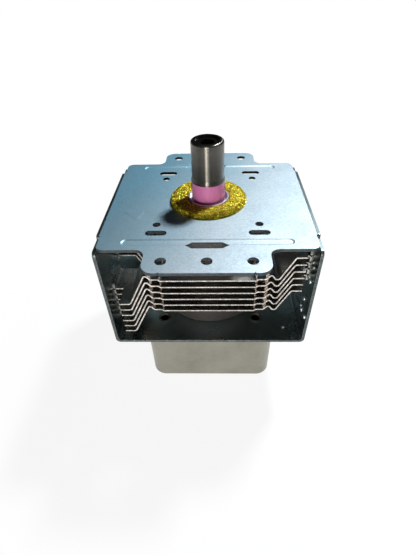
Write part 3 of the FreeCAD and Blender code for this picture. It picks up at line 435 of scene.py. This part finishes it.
@dataclass(frozen=True)
class SheetFinish(Finish):
    """Rolled sheet metal: uneven plating, grains, faint lines and plainer sheared faces.

    The sheared faces are those along cut_axis, or across it where cut_range runs
    downward; a cut_axis of zero leaves none. A painted shade darkens and tints the
    side that its way points away from, standing in for the weaker light there.
    """

    cut: Colour = (0.5, 0.5, 0.5)
    cut_shade: Colour = (0.4, 0.4, 0.4)
    cut_axis: Axes = (0.0, 1.0, 0.0)
    cut_range: Range = (0.8, 0.95)
    cut_roughness: float = 0.5
    cut_cover: float = 0.92
    torn_range: Range = (0.35, 0.75)
    cloud_scale: float = 60.0
    grain_scale: float = 1800.0
    grain_weight: float = 0.35
    lines: Axes = (30.0, 30.0, 900.0)
    line_weight: float = 0.2
    scratch_scale: float = 45.0
    scratch_shine: float = 0.08
    scratch_depth: float = 0.6
    relief: float = 0.02 * MM
    # Painted shade over one side of the sheet, standing in for the weaker light there
    painted_shade_tint: Colour = (1.0, 1.0, 1.0)
    painted_shade_way: Axes = (0.0, 0.0, 0.0)
    painted_shade_range: Range = (-0.5, 0.2)
    painted_shade_wander: float = 0.08
    tone_range: Range = (0.2, 0.8)
    duller: float = 0.07
    shinier: float = 0.05

    def dress(
        self, graph: Graph, shop: EffectShop, shader: bpy.types.Node, place: Socket
    ) -> None:
        """Mix clouds, grains and lines into one tone, and treat sheared faces apart."""
        facing = graph.add("ShaderNodeNewGeometry").outputs["True Normal"]
        cloud = shop.lay(graph, Effect.CLOUDS, place, self.cloud_scale)["Tone"]
        grain = shop.lay(graph, Effect.GRAINS, place, self.grain_scale)
        feeds = {"Place": place, "Lines": self.lines}
        line = shop.place(graph, Effect.ROLLING, feeds).outputs["Tone"]
        start, full = self.cut_range
        feeds = {"Facing": facing, "Axis": self.cut_axis, "From": start, "To": full}
        cut = shop.place(graph, Effect.SHEARED, feeds).outputs["Mask"]
        scratch = shop.lay(graph, Effect.SCRATCHES, place, self.scratch_scale)["Mask"]
        grained = (grain["Tone"], self.grain_weight)
        tone = graph.weigh((cloud, 1.0), grained, (line, self.line_weight))
        colour = graph.blend(tone, self.shade, self.colour)
        # Painted shade: one side of the sheet darkened and tinted
        if any(self.painted_shade_way):
            colour = self.paint_side_shade(graph, place, cloud, colour)
        torn = graph.remap(grain["Tone"], *self.torn_range)
        torn = graph.blend(torn, self.cut_shade, self.cut)
        colour = graph.blend(graph.calc("MULTIPLY", cut, self.cut_cover), colour, torn)
        graph.feed(shader.inputs["Base Color"], colour)
        rougher = graph.calc("MULTIPLY", cut, self.cut_roughness - self.roughness)
        rough = graph.calc("ADD", self.gloss(graph, tone), rougher)
        shine = graph.calc("MULTIPLY", scratch, self.scratch_shine)
        graph.feed(shader.inputs["Roughness"], graph.calc("SUBTRACT", rough, shine))
        graph.feed(shader.inputs["Metallic"], 1.0)
        raised = graph.calc("MULTIPLY", line, self.line_weight)
        height = graph.calc("ADD", grain["Relief"], raised)
        groove = graph.calc("MULTIPLY", scratch, self.scratch_depth)
        self.emboss(graph, shader, graph.calc("SUBTRACT", height, groove), self.relief)

    def paint_side_shade(self, graph: Graph, place: Socket, cloud: Socket, colour: Socket) -> Socket:
        """Return the colour with painted shade over one side, which has a wandering edge.

        Args:
            graph: The material's graph.
            place: Object coordinates.
            cloud: Tone that the painted shade's edge wanders with.
            colour: Colour without the painted shade.
        """
        side = graph.vectors("DOT_PRODUCT", place, self.painted_shade_way)
        wander = graph.calc("MULTIPLY", graph.calc("SUBTRACT", cloud, 0.5), self.painted_shade_wander)
        side = graph.calc("ADD", side, wander)
        painted_shade_share = graph.remap(side, *self.painted_shade_range, start=1.0, end=0.0)
        return graph.blend(painted_shade_share, colour, graph.vectors("MULTIPLY", colour, self.painted_shade_tint))


@dataclass(frozen=True)
class TurnedFinish(Finish):
    """Drawn or turned metal with lines round the antenna's axis."""

    line_scale: float = 2600.0
    line_share: float = 0.5
    cloud_scale: float = 120.0
    relief: float = 0.006 * MM
    spread: float = 0.0
    spread_turn: float = 0.25
    level_range: Range = (0.6, 0.9)

    def dress(
        self, graph: Graph, shop: EffectShop, shader: bpy.types.Node, place: Socket
    ) -> None:
        """Vary tone and gloss along the turning lines."""
        line = shop.lay(graph, Effect.TURNING, place, self.line_scale)["Tone"]
        cloud = shop.lay(graph, Effect.CLOUDS, place, self.cloud_scale)["Tone"]
        tone = graph.weigh((line, self.line_share), (cloud, 1.0 - self.line_share))
        graph.feed(shader.inputs["Base Color"], graph.blend(tone, self.shade, self.colour))
        graph.feed(shader.inputs["Roughness"], self.gloss(graph, tone))
        graph.feed(shader.inputs["Metallic"], 1.0)
        if self.spread:
            self.spread_highlights(graph, shader, place)
        self.emboss(graph, shader, line, self.relief)

    def spread_highlights(self, graph: Graph, shader: bpy.types.Node, place: Socket) -> None:
        """Spread the highlights across the turning lines, and along X on level faces.

        Args:
            graph: The material's graph.
            shader: The surface shader.
            place: Object coordinates.
        """
        around = graph.vectors("CROSS_PRODUCT", Vector((0.0, 0.0, 1.0)), place)
        facing = graph.add("ShaderNodeNewGeometry").outputs["True Normal"]
        upward = graph.add("ShaderNodeSeparateXYZ", {0: facing}).outputs[2]
        level = graph.remap(graph.calc("ABSOLUTE", upward), *self.level_range)
        tangent = graph.blend(level, around, Vector((1.0, 0.0, 0.0)), kind="VECTOR")
        graph.feed(shader.inputs["Tangent"], tangent)
        shader.inputs["Anisotropic"].default_value = self.spread
        shader.inputs["Anisotropic Rotation"].default_value = self.spread_turn


@dataclass(frozen=True)
class CeramicFinish(Finish):
    """Fired ceramic or ferrite: fine specks, soft clouds and a few grey rubs."""

    rub: Colour = (0.3, 0.3, 0.3)
    rub_weight: float = 0.3
    rub_scale: float = 110.0
    speck_scale: float = 2200.0
    speck_share: float = 0.4
    cloud_scale: float = 90.0
    relief: float = 0.012 * MM
    coat: float = 0.0
    duller: float = 0.08

    def dress(
        self, graph: Graph, shop: EffectShop, shader: bpy.types.Node, place: Socket
    ) -> None:
        """Mix specks and clouds, then lay the rubs over them."""
        grain = shop.lay(graph, Effect.GRAINS, place, self.speck_scale)
        cloud = shop.lay(graph, Effect.CLOUDS, place, self.cloud_scale)["Tone"]
        rubs = shop.lay(graph, Effect.SCRATCHES, place, self.rub_scale)["Mask"]
        specks = (grain["Tone"], self.speck_share)
        tone = graph.weigh(specks, (cloud, 1.0 - self.speck_share))
        colour = graph.blend(tone, self.shade, self.colour)
        rubbed = graph.calc("MULTIPLY", rubs, self.rub_weight)
        graph.feed(shader.inputs["Base Color"], graph.blend(rubbed, colour, self.rub))
        graph.feed(shader.inputs["Roughness"], self.gloss(graph, tone))
        shader.inputs["Coat Weight"].default_value = self.coat
        self.emboss(graph, shader, grain["Relief"], self.relief)


@dataclass(frozen=True)
class WireFinish(Finish):
    """Bare or enamelled wire whose colour drifts from stitch to stitch."""

    # Painted shade for what the mesh marks as the gaps between stitches
    painted_gap_shade: Colour = (0.1, 0.06, 0.01)
    crevice_dullness: float = 0.3
    drift_scale: float = 700.0
    stitch_scale: float = 1700.0
    stitch_share: float = 0.7
    stitch_range: Range = (0.24, 0.52)
    grain_scale: float = 5200.0
    relief: float = 0.01 * MM
    coat: float = 0.0
    duller: float = 0.1
    shinier: float = 0.05

    def dress(
        self, graph: Graph, shop: EffectShop, shader: bpy.types.Node, place: Socket
    ) -> None:
        """Let the tone drift, and paint shade on what the mesh marks as the gaps between stitches.
        """
        drift = shop.lay(graph, Effect.CLOUDS, place, self.drift_scale)["Tone"]
        grain = shop.lay(graph, Effect.GRAINS, place, self.grain_scale)
        gap_shade_mask = graph.add("ShaderNodeAttribute", attribute_name="painted_gap_shade").outputs["Fac"]
        stitch = shop.lay(graph, Effect.GRAINS, place, self.stitch_scale)["Tone"]
        tone = graph.weigh((drift, 1.0 - self.stitch_share), (stitch, self.stitch_share))
        tone = graph.remap(tone, *self.stitch_range)
        colour = graph.blend(tone, self.shade, self.colour)
        # Painted shade: the marked core turns near-black, standing in for the shade between the
        # stitches
        graph.feed(shader.inputs["Base Color"], graph.blend(gap_shade_mask, colour, self.painted_gap_shade))
        rough = self.gloss(graph, grain["Tone"])
        duller = graph.calc("MULTIPLY", gap_shade_mask, self.crevice_dullness)
        graph.feed(shader.inputs["Roughness"], graph.calc("ADD", rough, duller))
        graph.feed(shader.inputs["Metallic"], 1.0)
        shader.inputs["Coat Weight"].default_value = self.coat
        self.emboss(graph, shader, grain["Relief"], self.relief)


@dataclass(frozen=True)
class MouldedFinish(Finish):
    """Moulded plastic with a fine even grain."""

    grain_scale: float = 3000.0
    cloud_scale: float = 70.0
    relief: float = 0.02 * MM
    tone_range: Range = (0.0, 1.0)
    duller: float = 0.1
    shinier: float = 0.05

    def dress(
        self, graph: Graph, shop: EffectShop, shader: bpy.types.Node, place: Socket
    ) -> None:
        """Give the moulding its grain and slight flow marks."""
        grain = shop.lay(graph, Effect.GRAINS, place, self.grain_scale)
        cloud = shop.lay(graph, Effect.CLOUDS, place, self.cloud_scale)["Tone"]
        graph.feed(shader.inputs["Base Color"], graph.blend(cloud, self.shade, self.colour))
        graph.feed(shader.inputs["Roughness"], self.gloss(graph, grain["Tone"]))
        self.emboss(graph, shader, grain["Relief"], self.relief)


class FinishBook:
    """Every finish, each named after a material slot of the record."""

    FINISHES: tuple[Finish, ...] = (
        SheetFinish(
            "zinc_plated_steel", (0.66, 0.75, 0.80), 0.56, (0.42, 0.51, 0.57),
            # Painted shade: the near-black cut colour stands in for the shade inside the holes and
            # slots, and darkens the sheet's outer edges as well
            cut=(0.045, 0.043, 0.042), cut_shade=(0.02, 0.019, 0.018), cut_axis=(0.0, 0.0, 1.0),
            cut_range=(0.45, 0.25), cut_roughness=0.45, cloud_scale=42.0, grain_scale=1500.0,
            grain_weight=1.4, lines=(260.0, 18.0, 260.0), line_weight=0.12, relief=0.07 * MM,
            # Painted shade: the left and rear of the plate darkened and turned bluer, fading
            # towards the right front, for the weaker light there
            painted_shade_tint=(0.55, 0.87, 1.0), painted_shade_way=(11.1, -5.8, 0.0),
        ),
        SheetFinish(
            "yoke_steel", (0.46, 0.56, 0.57), 0.30, (0.30, 0.39, 0.40),
            cut=(0.12, 0.13, 0.13), cut_shade=(0.05, 0.055, 0.055), cloud_scale=38.0,
            grain_scale=1500.0, lines=(240.0, 14.0, 240.0), line_weight=0.25, relief=0.012 * MM,
        ),
        SheetFinish(
            "tinned_steel", (0.36, 0.35, 0.29), 0.36, (0.24, 0.23, 0.19),
            cut_axis=(0.0, 0.0, 0.0), cloud_scale=55.0, grain_scale=1300.0, grain_weight=0.3,
            lines=(160.0, 160.0, 22.0), line_weight=0.25,
        ),
        CeramicFinish(
            "ferrite", (0.060, 0.057, 0.054), 0.5, (0.022, 0.021, 0.020),
            rub=(0.30, 0.22, 0.12), rub_weight=0.6, speck_scale=1500.0,
        ),
        SheetFinish(
            "fin_aluminium", (0.62, 0.62, 0.60), 0.28, (0.44, 0.44, 0.42),
            cut=(0.84, 0.80, 0.74), cut_shade=(0.32, 0.30, 0.27), cloud_scale=70.0,
            grain_scale=2400.0, grain_weight=0.4, lines=(30.0, 500.0, 500.0), line_weight=0.35,
            relief=0.03 * MM,
        ),
        TurnedFinish("copper", (0.44, 0.29, 0.22), 0.34, (0.24, 0.15, 0.11)),
        TurnedFinish("pole_steel", (0.56, 0.56, 0.56), 0.28, (0.36, 0.36, 0.37)),
        TurnedFinish("seal_alloy", (0.90, 0.92, 0.95), 0.42, (0.72, 0.74, 0.77)),
        CeramicFinish(
            "pink_ceramic", (0.78, 0.25, 0.54), 0.34, (0.62, 0.185, 0.42),
            rub=(0.20, 0.16, 0.19), rub_weight=0.7, speck_scale=2600.0, coat=0.25,
        ),
        TurnedFinish(
            "cap_steel", (0.165, 0.158, 0.14), 0.30, (0.11, 0.105, 0.094),
            line_scale=3200.0, relief=0.002 * MM, spread=0.85,
        ),
        WireFinish(
            "knitted_brass", (1.0, 0.88, 0.09), 0.28, (0.52, 0.22, 0.005),
            # Painted shade: near-black for the core between the stitches
            painted_gap_shade=(0.06, 0.022, 0.002),
        ),
        WireFinish("tungsten", (0.36, 0.35, 0.34), 0.4, (0.16, 0.15, 0.15)),
        TurnedFinish("molybdenum", (0.56, 0.56, 0.58), 0.35, (0.36, 0.36, 0.38)),
        CeramicFinish("white_ceramic", (0.86, 0.84, 0.80), 0.42, (0.70, 0.68, 0.64)),
        WireFinish("enamelled_wire", (0.62, 0.24, 0.07), 0.24, (0.38, 0.12, 0.03), coat=0.6),
        SheetFinish(
            "terminal_brass", (0.80, 0.74, 0.56), 0.28, (0.60, 0.53, 0.36), cut=(0.74, 0.66, 0.46)
        ),
        MouldedFinish("moulded_plastic", (0.035, 0.10, 0.25), 0.38, (0.02, 0.065, 0.17)),
        TurnedFinish("plated_rivet", (0.88, 0.93, 0.98), 0.58, (0.70, 0.75, 0.80)),
    )

    def __init__(self) -> None:
        """Build each finish's material once."""
        shop = EffectShop()
        self.materials = {finish.name: finish.build(shop) for finish in self.FINISHES}

    def paint(self, piece: bpy.types.Object, slot: str) -> None:
        """Put one finish on a piece.

        Args:
            piece: The piece.
            slot: Material slot of the record.
        """
        if not piece.material_slots:
            piece.data.materials.append(self.materials[slot])
        for place in piece.material_slots:
            place.material = self.materials[slot]

    def paint_nodes(self, frame: dict) -> None:
        """Put the right finish on each carried-over node.

        Args:
            frame: The loaded frame.
        """
        for part in frame["record"]["subparts"]:
            self.paint(frame["nodes"][part["node"]], part["material_slot"])


def make_piece(
    name: str, mesh: bpy.types.Mesh, slot: str, book: FinishBook, *stands_for: str
) -> bpy.types.Object:
    """Turn a mesh into a finished piece that rides on the body.

    Args:
        name: The piece's name.
        mesh: Its mesh, already in place.
        slot: Material slot of the record.
        book: The finishes.
        stands_for: Nodes that the piece is shown in place of.

    Returns:
        The piece.
    """
    piece = bpy.data.objects.new(name, mesh)
    bpy.context.scene.collection.objects.link(piece)
    book.paint(piece, slot)
    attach(piece, BODY)
    if stands_for:
        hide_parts(*stands_for)
    LOG.info("%s: %d faces", name, len(mesh.polygons))
    return piece


@dataclass
class BrokenEdgeSheet:
    """A sheet part whose folds are rounded and whose sharp edges are broken by tumbling."""

    name: str
    node: str
    slot: str
    radius: float
    sharp_degrees: float = 50.0
    fold_degrees: float = 15.0
    fold_radius: float = 0.38 * MM
    flat_degrees: float = 0.05
    join_distance: float = 0.002 * MM
    rounding_steps: int = 2
    even_weight: int = 100

    def build(self, frame: dict, book: FinishBook) -> bpy.types.Object:
        """Copy the node, round its folds and edges, and show it in the node's place.

        Args:
            frame: The loaded frame.
            book: The finishes.

        Returns:
            The rounded piece.
        """
        shape = bmesh.new()
        shape.from_mesh(frame["nodes"][self.node].data)
        bmesh.ops.remove_doubles(shape, verts=shape.verts, dist=self.join_distance)
        flat = math.radians(self.flat_degrees)
        bmesh.ops.dissolve_limit(shape, angle_limit=flat, verts=shape.verts, edges=shape.edges)
        self.soften(shape, self.fold_degrees, self.sharp_degrees, self.fold_radius)
        self.soften(shape, self.sharp_degrees, 180.0, self.radius)
        bmesh.ops.recalc_face_normals(shape, faces=shape.faces)
        mesh = bpy.data.meshes.new(self.name)
        shape.to_mesh(mesh)
        shape.free()
        mesh.materials.clear()
        mesh.shade_smooth()
        piece = make_piece(self.name, mesh, self.slot, book, self.node)
        weighted = piece.modifiers.new("even_faces", "WEIGHTED_NORMAL")
        weighted.weight = self.even_weight
        return piece

    def soften(
        self, shape: bmesh.types.BMesh, least: float, most: float, radius: float
    ) -> None:
        """Round the edges whose faces turn by an angle between two limits.

        Args:
            shape: The sheet's mesh.
            least: Smallest turn, in degrees.
            most: Largest turn, in degrees.
            radius: How far the rounding reaches from the edge.
        """
        inner = [edge for edge in shape.edges if len(edge.link_faces) == 2]
        least, most = math.radians(least), math.radians(most)
        turned = [edge for edge in inner if least < edge.calc_face_angle(0.0) <= most]
        bmesh.ops.bevel(
            shape, geom=turned, offset=radius, offset_type="OFFSET", affect="EDGES",
            segments=self.rounding_steps, profile=0.5, material=-1, clamp_overlap=True,
        )


@dataclass
class KnittedGasket:
    """Ring of crumpled knitted wire round the antenna's sleeve.

    Closed courses of stitches run round the antenna over a packed core, whose
    near-black colour is painted shade in the gaps between the stitches. Leans, lifts
    and slips make each stitch a little different from the next.
    """

    node: str = "rf_gasket"
    slot: str = "knitted_brass"
    bore: float = 9.75 * MM
    wire: float = 0.105 * MM
    stitch: float = 0.70 * MM
    course: float = 0.50 * MM
    fewest_stitches: int = 8
    points_per_stitch: int = 7
    loop_lean: float = 0.30
    loop_reach: float = 0.95
    loop_depth: float = 0.20 * MM
    crumple: float = 0.34 * MM
    lean_spread: Range = (0.5, 1.4)
    lift_spread: Range = (-1.0, 0.7)
    slip_spread: Range = (-0.5, 0.5)
    edge: float = 1.5 * MM
    trim: float = 0.45 * MM
    core_inset: float = 0.28 * MM
    core_steps: int = 120
    core_crumple: float = 0.12 * MM
    core_spread: Range = (-1.0, 0.6)
    join_distance: float = 0.01 * MM
    seed: int = 7
    outer: float = field(init=False)
    bottom: float = field(init=False)
    top: float = field(init=False)
    dice: random.Random = field(init=False)

    def __post_init__(self) -> None:
        """Read the node's box and make the dice ready."""
        low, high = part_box(self.node)
        self.outer = high.x - self.trim
        self.bottom = low.z
        self.top = high.z
        self.dice = random.Random(self.seed)

    def build(self, book: FinishBook) -> None:
        """Make the core and the knit over it.

        Args:
            book: The finishes.
        """
        make_piece("gasket_core", self.core_mesh(), self.slot, book, self.node)
        make_piece("gasket_knit", self.knit_mesh(), self.slot, book, self.node)

    def profile(self, inset: float) -> list[tuple[Vector, Vector]]:
        """Return points (radius, height) and outward normals from bore to outer foot.

        Args:
            inset: How far the profile lies inside the gasket's own surface.
        """
        start = Vector((self.bore + inset, self.bottom))
        inner = Vector((self.bore + inset, self.top - inset - self.edge))
        top_in = Vector((self.bore + inset + self.edge, self.top - inset))
        top_out = Vector((self.outer - inset - self.edge, self.top - inset))
        outer = Vector((self.outer - inset, self.top - inset - self.edge))
        foot = Vector((self.outer - inset, self.bottom))
        path: list[tuple[Vector, Vector]] = []
        self.run(path, start, inner, Vector((-1, 0)))
        self.turn(path, Vector((top_in.x, inner.y)), math.pi, math.pi / 2)
        self.run(path, top_in, top_out, Vector((0, 1)))
        self.turn(path, Vector((top_out.x, outer.y)), math.pi / 2, 0.0)
        self.run(path, outer, foot, Vector((1, 0)))
        return path

    def run(self, path: list, start: Vector, end: Vector, normal: Vector) -> None:
        """Add a straight stretch of profile, one point to each course.

        Args:
            path: The profile so far.
            start: Where the stretch starts.
            end: Where it ends.
            normal: Its outward direction.
        """
        count = max(1, round((end - start).length / self.course))
        for index in range(count):
            path.append((start.lerp(end, (index + 0.5) / count), normal))

    def turn(self, path: list, centre: Vector, first: float, last: float) -> None:
        """Add a rounded stretch of profile, one point to each course.

        Args:
            path: The profile so far.
            centre: Middle of the rounding.
            first: Angle where the stretch starts.
            last: Angle where it ends.
        """
        count = max(1, round(abs(last - first) * self.edge / self.course))
        for index in range(count):
            angle = first + (last - first) * (index + 0.5) / count
            normal = Vector((math.cos(angle), math.sin(angle)))
            path.append((centre + normal * self.edge, normal))

    def core_mesh(self) -> bpy.types.Mesh:
        """Return the packed middle of the knit, spun and then crumpled, and marked for painted
        shade.
        """
        shape = bmesh.new()
        path = [place for place, _ in self.profile(self.core_inset)]
        path = [Vector((path[0].x, self.bottom)), *path, Vector((path[-1].x, self.bottom))]
        points = [shape.verts.new((p.x, 0.0, p.y)) for p in path]
        edges = [shape.edges.new(pair) for pair in zip(points, points[1:] + points[:1])]
        bmesh.ops.spin(
            shape, geom=points + edges, cent=(0, 0, 0), axis=(0, 0, 1), angle=math.tau,
            steps=self.core_steps, use_merge=True,
        )
        bmesh.ops.remove_doubles(shape, verts=shape.verts, dist=self.join_distance)
        bmesh.ops.recalc_face_normals(shape, faces=shape.faces)
        shape.normal_update()
        for vert in shape.verts:
            if vert.co.z > self.bottom + self.course:
                push = self.dice.uniform(*self.core_spread)
                vert.co += vert.normal * push * self.core_crumple
        mesh = bpy.data.meshes.new("gasket_core")
        shape.to_mesh(mesh)
        shape.free()
        # Mark the whole core for the painted shade between the stitches
        gap_shade_mask = mesh.attributes.new("painted_gap_shade", "FLOAT", "POINT")
        gap_shade_mask.data.foreach_set("value", [1.0] * len(mesh.vertices))
        mesh.shade_smooth()
        return mesh

    def knit_mesh(self) -> bpy.types.Mesh:
        """Return all courses of stitches as one mesh of thin wire."""
        curve = bpy.data.curves.new("gasket_wire", "CURVE")
        curve.dimensions = "3D"
        curve.bevel_depth = self.wire
        curve.bevel_resolution = 0
        for place, normal in self.profile(self.wire * 2):
            self.add_course(curve, place, normal)
        carrier = bpy.data.objects.new("gasket_wire", curve)
        bpy.context.scene.collection.objects.link(carrier)
        solved = carrier.evaluated_get(bpy.context.evaluated_depsgraph_get())
        mesh = bpy.data.meshes.new_from_object(solved)
        bpy.data.objects.remove(carrier)
        bpy.data.curves.remove(curve)
        mesh.materials.clear()
        mesh.shade_smooth()
        return mesh

    def add_course(self, curve: bpy.types.Curve, place: Vector, normal: Vector) -> None:
        """Add one closed course of leaning loops at one point of the profile.

        Args:
            curve: The curve that holds the wire.
            place: Radius and height of the course.
            normal: Outward direction across the wire's path, in the same plane.
        """
        stitches = max(self.fewest_stitches, round(math.tau * place.x / self.stitch))
        count = stitches * self.points_per_stitch
        across = Vector((normal.y, -normal.x))
        shift = self.dice.random()
        spreads = (self.lean_spread, self.lift_spread, self.slip_spread)
        leans, lifts, slips = (
            [self.dice.uniform(*spread) for _ in range(stitches)] for spread in spreads
        )
        spline = curve.splines.new("POLY")
        spline.points.add(count - 1)
        spline.use_cyclic_u = True
        for index in range(count):
            along = index / self.points_per_stitch
            stitch = int(along) % stitches
            phase = math.tau * along
            middle = math.sin(phase / 2) ** 2
            lean = self.loop_lean * leans[stitch] * math.sin(2 * phase) / 2
            angle = math.tau * (along + shift + lean) / stitches
            side = self.course * (self.loop_reach * math.cos(phase) + slips[stitch] * middle)
            lift = self.loop_depth * math.cos(2 * phase) + self.crumple * lifts[stitch] * middle
            spot = place + across * side + normal * lift
            height = max(spot.y, self.bottom + self.wire)
            round_axis = (spot.x * math.cos(angle), spot.x * math.sin(angle))
            spline.points[index].co = (*round_axis, height, 1.0)


@dataclass(frozen=True)
class WeldSpatter:
    """Small bright beads of weld spatter on the right wall's inside and on the yoke's floor.

    Each bead is given by two places in its sheet and a radius, all in millimetres.
    """

    slot: str = "plated_rivet"
    wall_x: float = 45.2 * MM
    floor_z: float = 38.0 * MM
    on_wall: tuple[Axes, ...] = (
        (-33.3, 71.9, 1.05), (-30.9, 72.5, 0.72), (-27.4, 73.3, 0.70), (-27.2, 82.9, 0.78),
        (-30.3, 58.2, 0.90), (-27.2, 50.7, 0.78), (-29.2, 49.9, 1.05), (-35.9, 51.7, 1.05),
        (-14.4, 49.8, 0.70), (-32.3, 82.0, 0.56), (-34.0, 80.6, 0.62),
    )
    on_floor: tuple[Axes, ...] = ((37.5, -30.5, 0.80),)
    flatness: float = 0.6
    stretch: float = 1.1
    fineness: int = 3

    def build(self, book: FinishBook) -> None:
        """Make every bead in one mesh, each sunk a little into its sheet.

        Args:
            book: The finishes.
        """
        shape = bmesh.new()
        for y, z, radius in self.on_wall:
            place = Vector((self.wall_x, y * MM, z * MM))
            self.bead(shape, place, radius, Vector((self.flatness, 1.0, self.stretch)))
        for x, y, radius in self.on_floor:
            place = Vector((x * MM, y * MM, self.floor_z))
            self.bead(shape, place, radius, Vector((1.0, self.stretch, self.flatness)))
        mesh = bpy.data.meshes.new("weld_spatter")
        shape.to_mesh(mesh)
        shape.free()
        mesh.shade_smooth()
        make_piece("weld_spatter", mesh, self.slot, book)

    def bead(
        self, shape: bmesh.types.BMesh, place: Vector, radius: float, squash: Vector
    ) -> None:
        """Add one squashed bead.

        Args:
            shape: The mesh being built.
            place: Middle of the bead.
            radius: Its radius along the sheet, in millimetres.
            squash: Scale along each axis.
        """
        matrix = Matrix.Translation(place) @ Matrix.Diagonal((*squash, 1.0))
        bmesh.ops.create_icosphere(
            shape, subdivisions=self.fineness, radius=radius * MM, matrix=matrix
        )


@dataclass
class PhotoCamera:
    """Camera at the photograph's place and angle, with its turns in radians."""

    place: Vector = field(default_factory=lambda: Vector((4.15, -153.63, 181.55)) * MM)
    pitch: float = 0.726595
    yaw: float = 0.035331
    roll: float = 0.027534
    focal_pixels: float = 364.67
    frame_height: float = 555.0
    sensor: float = 36.0

    def build(self) -> None:
        """Make the camera and look through it."""
        data = bpy.data.cameras.new("photo_camera")
        data.sensor_fit = "VERTICAL"
        data.sensor_height = self.sensor
        data.sensor_width = self.sensor
        data.lens = self.focal_pixels / self.frame_height * self.sensor
        data.clip_start = 1 * MM
        camera = bpy.data.objects.new("photo_camera", data)
        tilt = math.pi / 2 - self.pitch
        turned = Matrix.Rotation(self.yaw, 3, "Z") @ Matrix.Rotation(tilt, 3, "X")
        turned = turned @ Matrix.Rotation(-self.roll, 3, "Z")
        camera.matrix_world = Matrix.Translation(self.place) @ turned.to_4x4()
        bpy.context.scene.collection.objects.link(camera)
        bpy.context.scene.camera = camera
        LOG.info("camera: lens %.2f mm", data.lens)


@dataclass(frozen=True)
class Lamp:
    """One soft box that shines at the part, with angles in degrees and power in watts."""

    name: str
    azimuth: float
    elevation: float
    distance: float
    width: float
    height: float
    power: float
    colour: Colour

    def build(self, target: Vector) -> None:
        """Hang the lamp and aim it.

        Args:
            target: Point that it shines at.
        """
        data = bpy.data.lights.new(self.name, "AREA")
        data.shape = "RECTANGLE"
        data.size = self.width
        data.size_y = self.height
        data.energy = self.power
        data.color = self.colour
        lamp = bpy.data.objects.new(self.name, data)
        flat = math.cos(math.radians(self.elevation))
        away = Vector((
            flat * math.cos(math.radians(self.azimuth)),
            flat * math.sin(math.radians(self.azimuth)),
            math.sin(math.radians(self.elevation)),
        ))
        lamp.location = target + away * self.distance
        lamp.rotation_euler = away.to_track_quat("Z", "Y").to_euler()
        bpy.context.scene.collection.objects.link(lamp)


@dataclass
class Studio:
    """White-looking floor, dim surroundings, one key lamp behind on the right, two in front."""

    target: Vector = field(default_factory=lambda: Vector((0.0, 0.0, 80.0)) * MM)
    floor_reach: float = 4.0
    floor_colour: Colour = (0.14, 0.14, 0.14)
    floor_glow: Range = (0.90, 1.0)
    glow_reach: Range = (0.12, 0.5)
    sky_front: Colour = (0.10, 0.095, 0.09)
    sky_rear: Colour = (0.012, 0.015, 0.018)
    front_side: Axes = (0.0, -0.9, -0.4)
    front_range: Range = (-0.4, 0.9)
    lamps: tuple[Lamp, ...] = (
        Lamp("rear_right_key", 48.0, 55.0, 0.75, 0.09, 0.09, 5.5, (0.92, 0.97, 1.0)),
        Lamp("front_fill", -94.0, -1.5, 0.80, 0.30, 0.09, 2.0, (1.0, 0.98, 0.94)),
        Lamp("front_strip", -98.0, -1.0, 0.80, 0.04, 0.10, 2.2, (1.0, 0.94, 0.86)),
    )

    def build(self) -> None:
        """Make the floor, the surroundings and the lamps."""
        bpy.context.scene.view_settings.view_transform = "Standard"
        self.make_floor()
        self.make_sky()
        for lamp in self.lamps:
            lamp.build(self.target)
        LOG.info("studio: %d lamps", len(self.lamps))

    @staticmethod
    def sees_background(graph: Graph) -> Socket:
        """Return 1 where the camera, a glossy or a clear surface looks at the background."""
        path = graph.add("ShaderNodeLightPath").outputs
        seen = graph.calc("MAXIMUM", path["Is Camera Ray"], path["Is Glossy Ray"])
        return graph.calc("MAXIMUM", seen, path["Is Transmission Ray"])

    def make_floor(self) -> None:
        """Lay a grey floor that glows to the eye, so it looks white and keeps soft shadows."""
        shape = bmesh.new()
        bmesh.ops.create_grid(shape, x_segments=1, y_segments=1, size=self.floor_reach)
        mesh = bpy.data.meshes.new("floor")
        shape.to_mesh(mesh)
        shape.free()
        floor = bpy.data.objects.new("floor", mesh)
        bpy.context.scene.collection.objects.link(floor)
        material = bpy.data.materials.new("pale_floor")
        material.use_nodes = True
        material.node_tree.nodes.clear()
        graph = Graph(material.node_tree)
        matt = graph.add("ShaderNodeBsdfDiffuse", {"Color": self.floor_colour})
        place = graph.add("ShaderNodeTexCoord").outputs["Object"]
        level = graph.remap(graph.vectors("LENGTH", place), *self.glow_reach, *self.floor_glow)
        strength = graph.calc("MULTIPLY", self.sees_background(graph), level)
        glow = graph.add("ShaderNodeEmission", {"Color": (1.0, 1.0, 1.0), "Strength": strength})
        both = graph.add("ShaderNodeAddShader", {0: matt.outputs[0], 1: glow.outputs[0]})
        graph.add("ShaderNodeOutputMaterial", {"Surface": both.outputs[0]})
        mesh.materials.append(material)

    def make_sky(self) -> None:
        """Make dim surroundings, darkest behind and above."""
        world = bpy.data.worlds.new("studio")
        bpy.context.scene.world = world
        world.use_nodes = True
        world.node_tree.nodes.clear()
        graph = Graph(world.node_tree)
        way = graph.add("ShaderNodeTexCoord").outputs["Generated"]
        side = graph.vectors("DOT_PRODUCT", way, self.front_side)
        level = graph.remap(side, *self.front_range)
        colour = graph.blend(level, self.sky_rear, self.sky_front)
        background = graph.add("ShaderNodeBackground", {"Color": colour, "Strength": 1.0})
        graph.add("ShaderNodeOutputWorld", {"Surface": background.outputs[0]})


def main() -> None:
    """Load the frame, finish every node, add the detailed pieces and set up the studio."""
    logging.basicConfig(level=logging.INFO, format="%(message)s")
    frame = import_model()
    PhotoCamera().build()
    Studio().build()
    book = FinishBook()
    book.paint_nodes(frame)
    plate = BrokenEdgeSheet("mounting_plate", "yoke_top_plate", "zinc_plated_steel", 0.16 * MM)
    strip = BrokenEdgeSheet("yoke_strip", "yoke_frame", "yoke_steel", 0.14 * MM)
    for sheet in (plate, strip):
        sheet.build(frame, book)
    KnittedGasket().build(book)
    WeldSpatter().build(book)


if __name__ == "__main__":
    main()
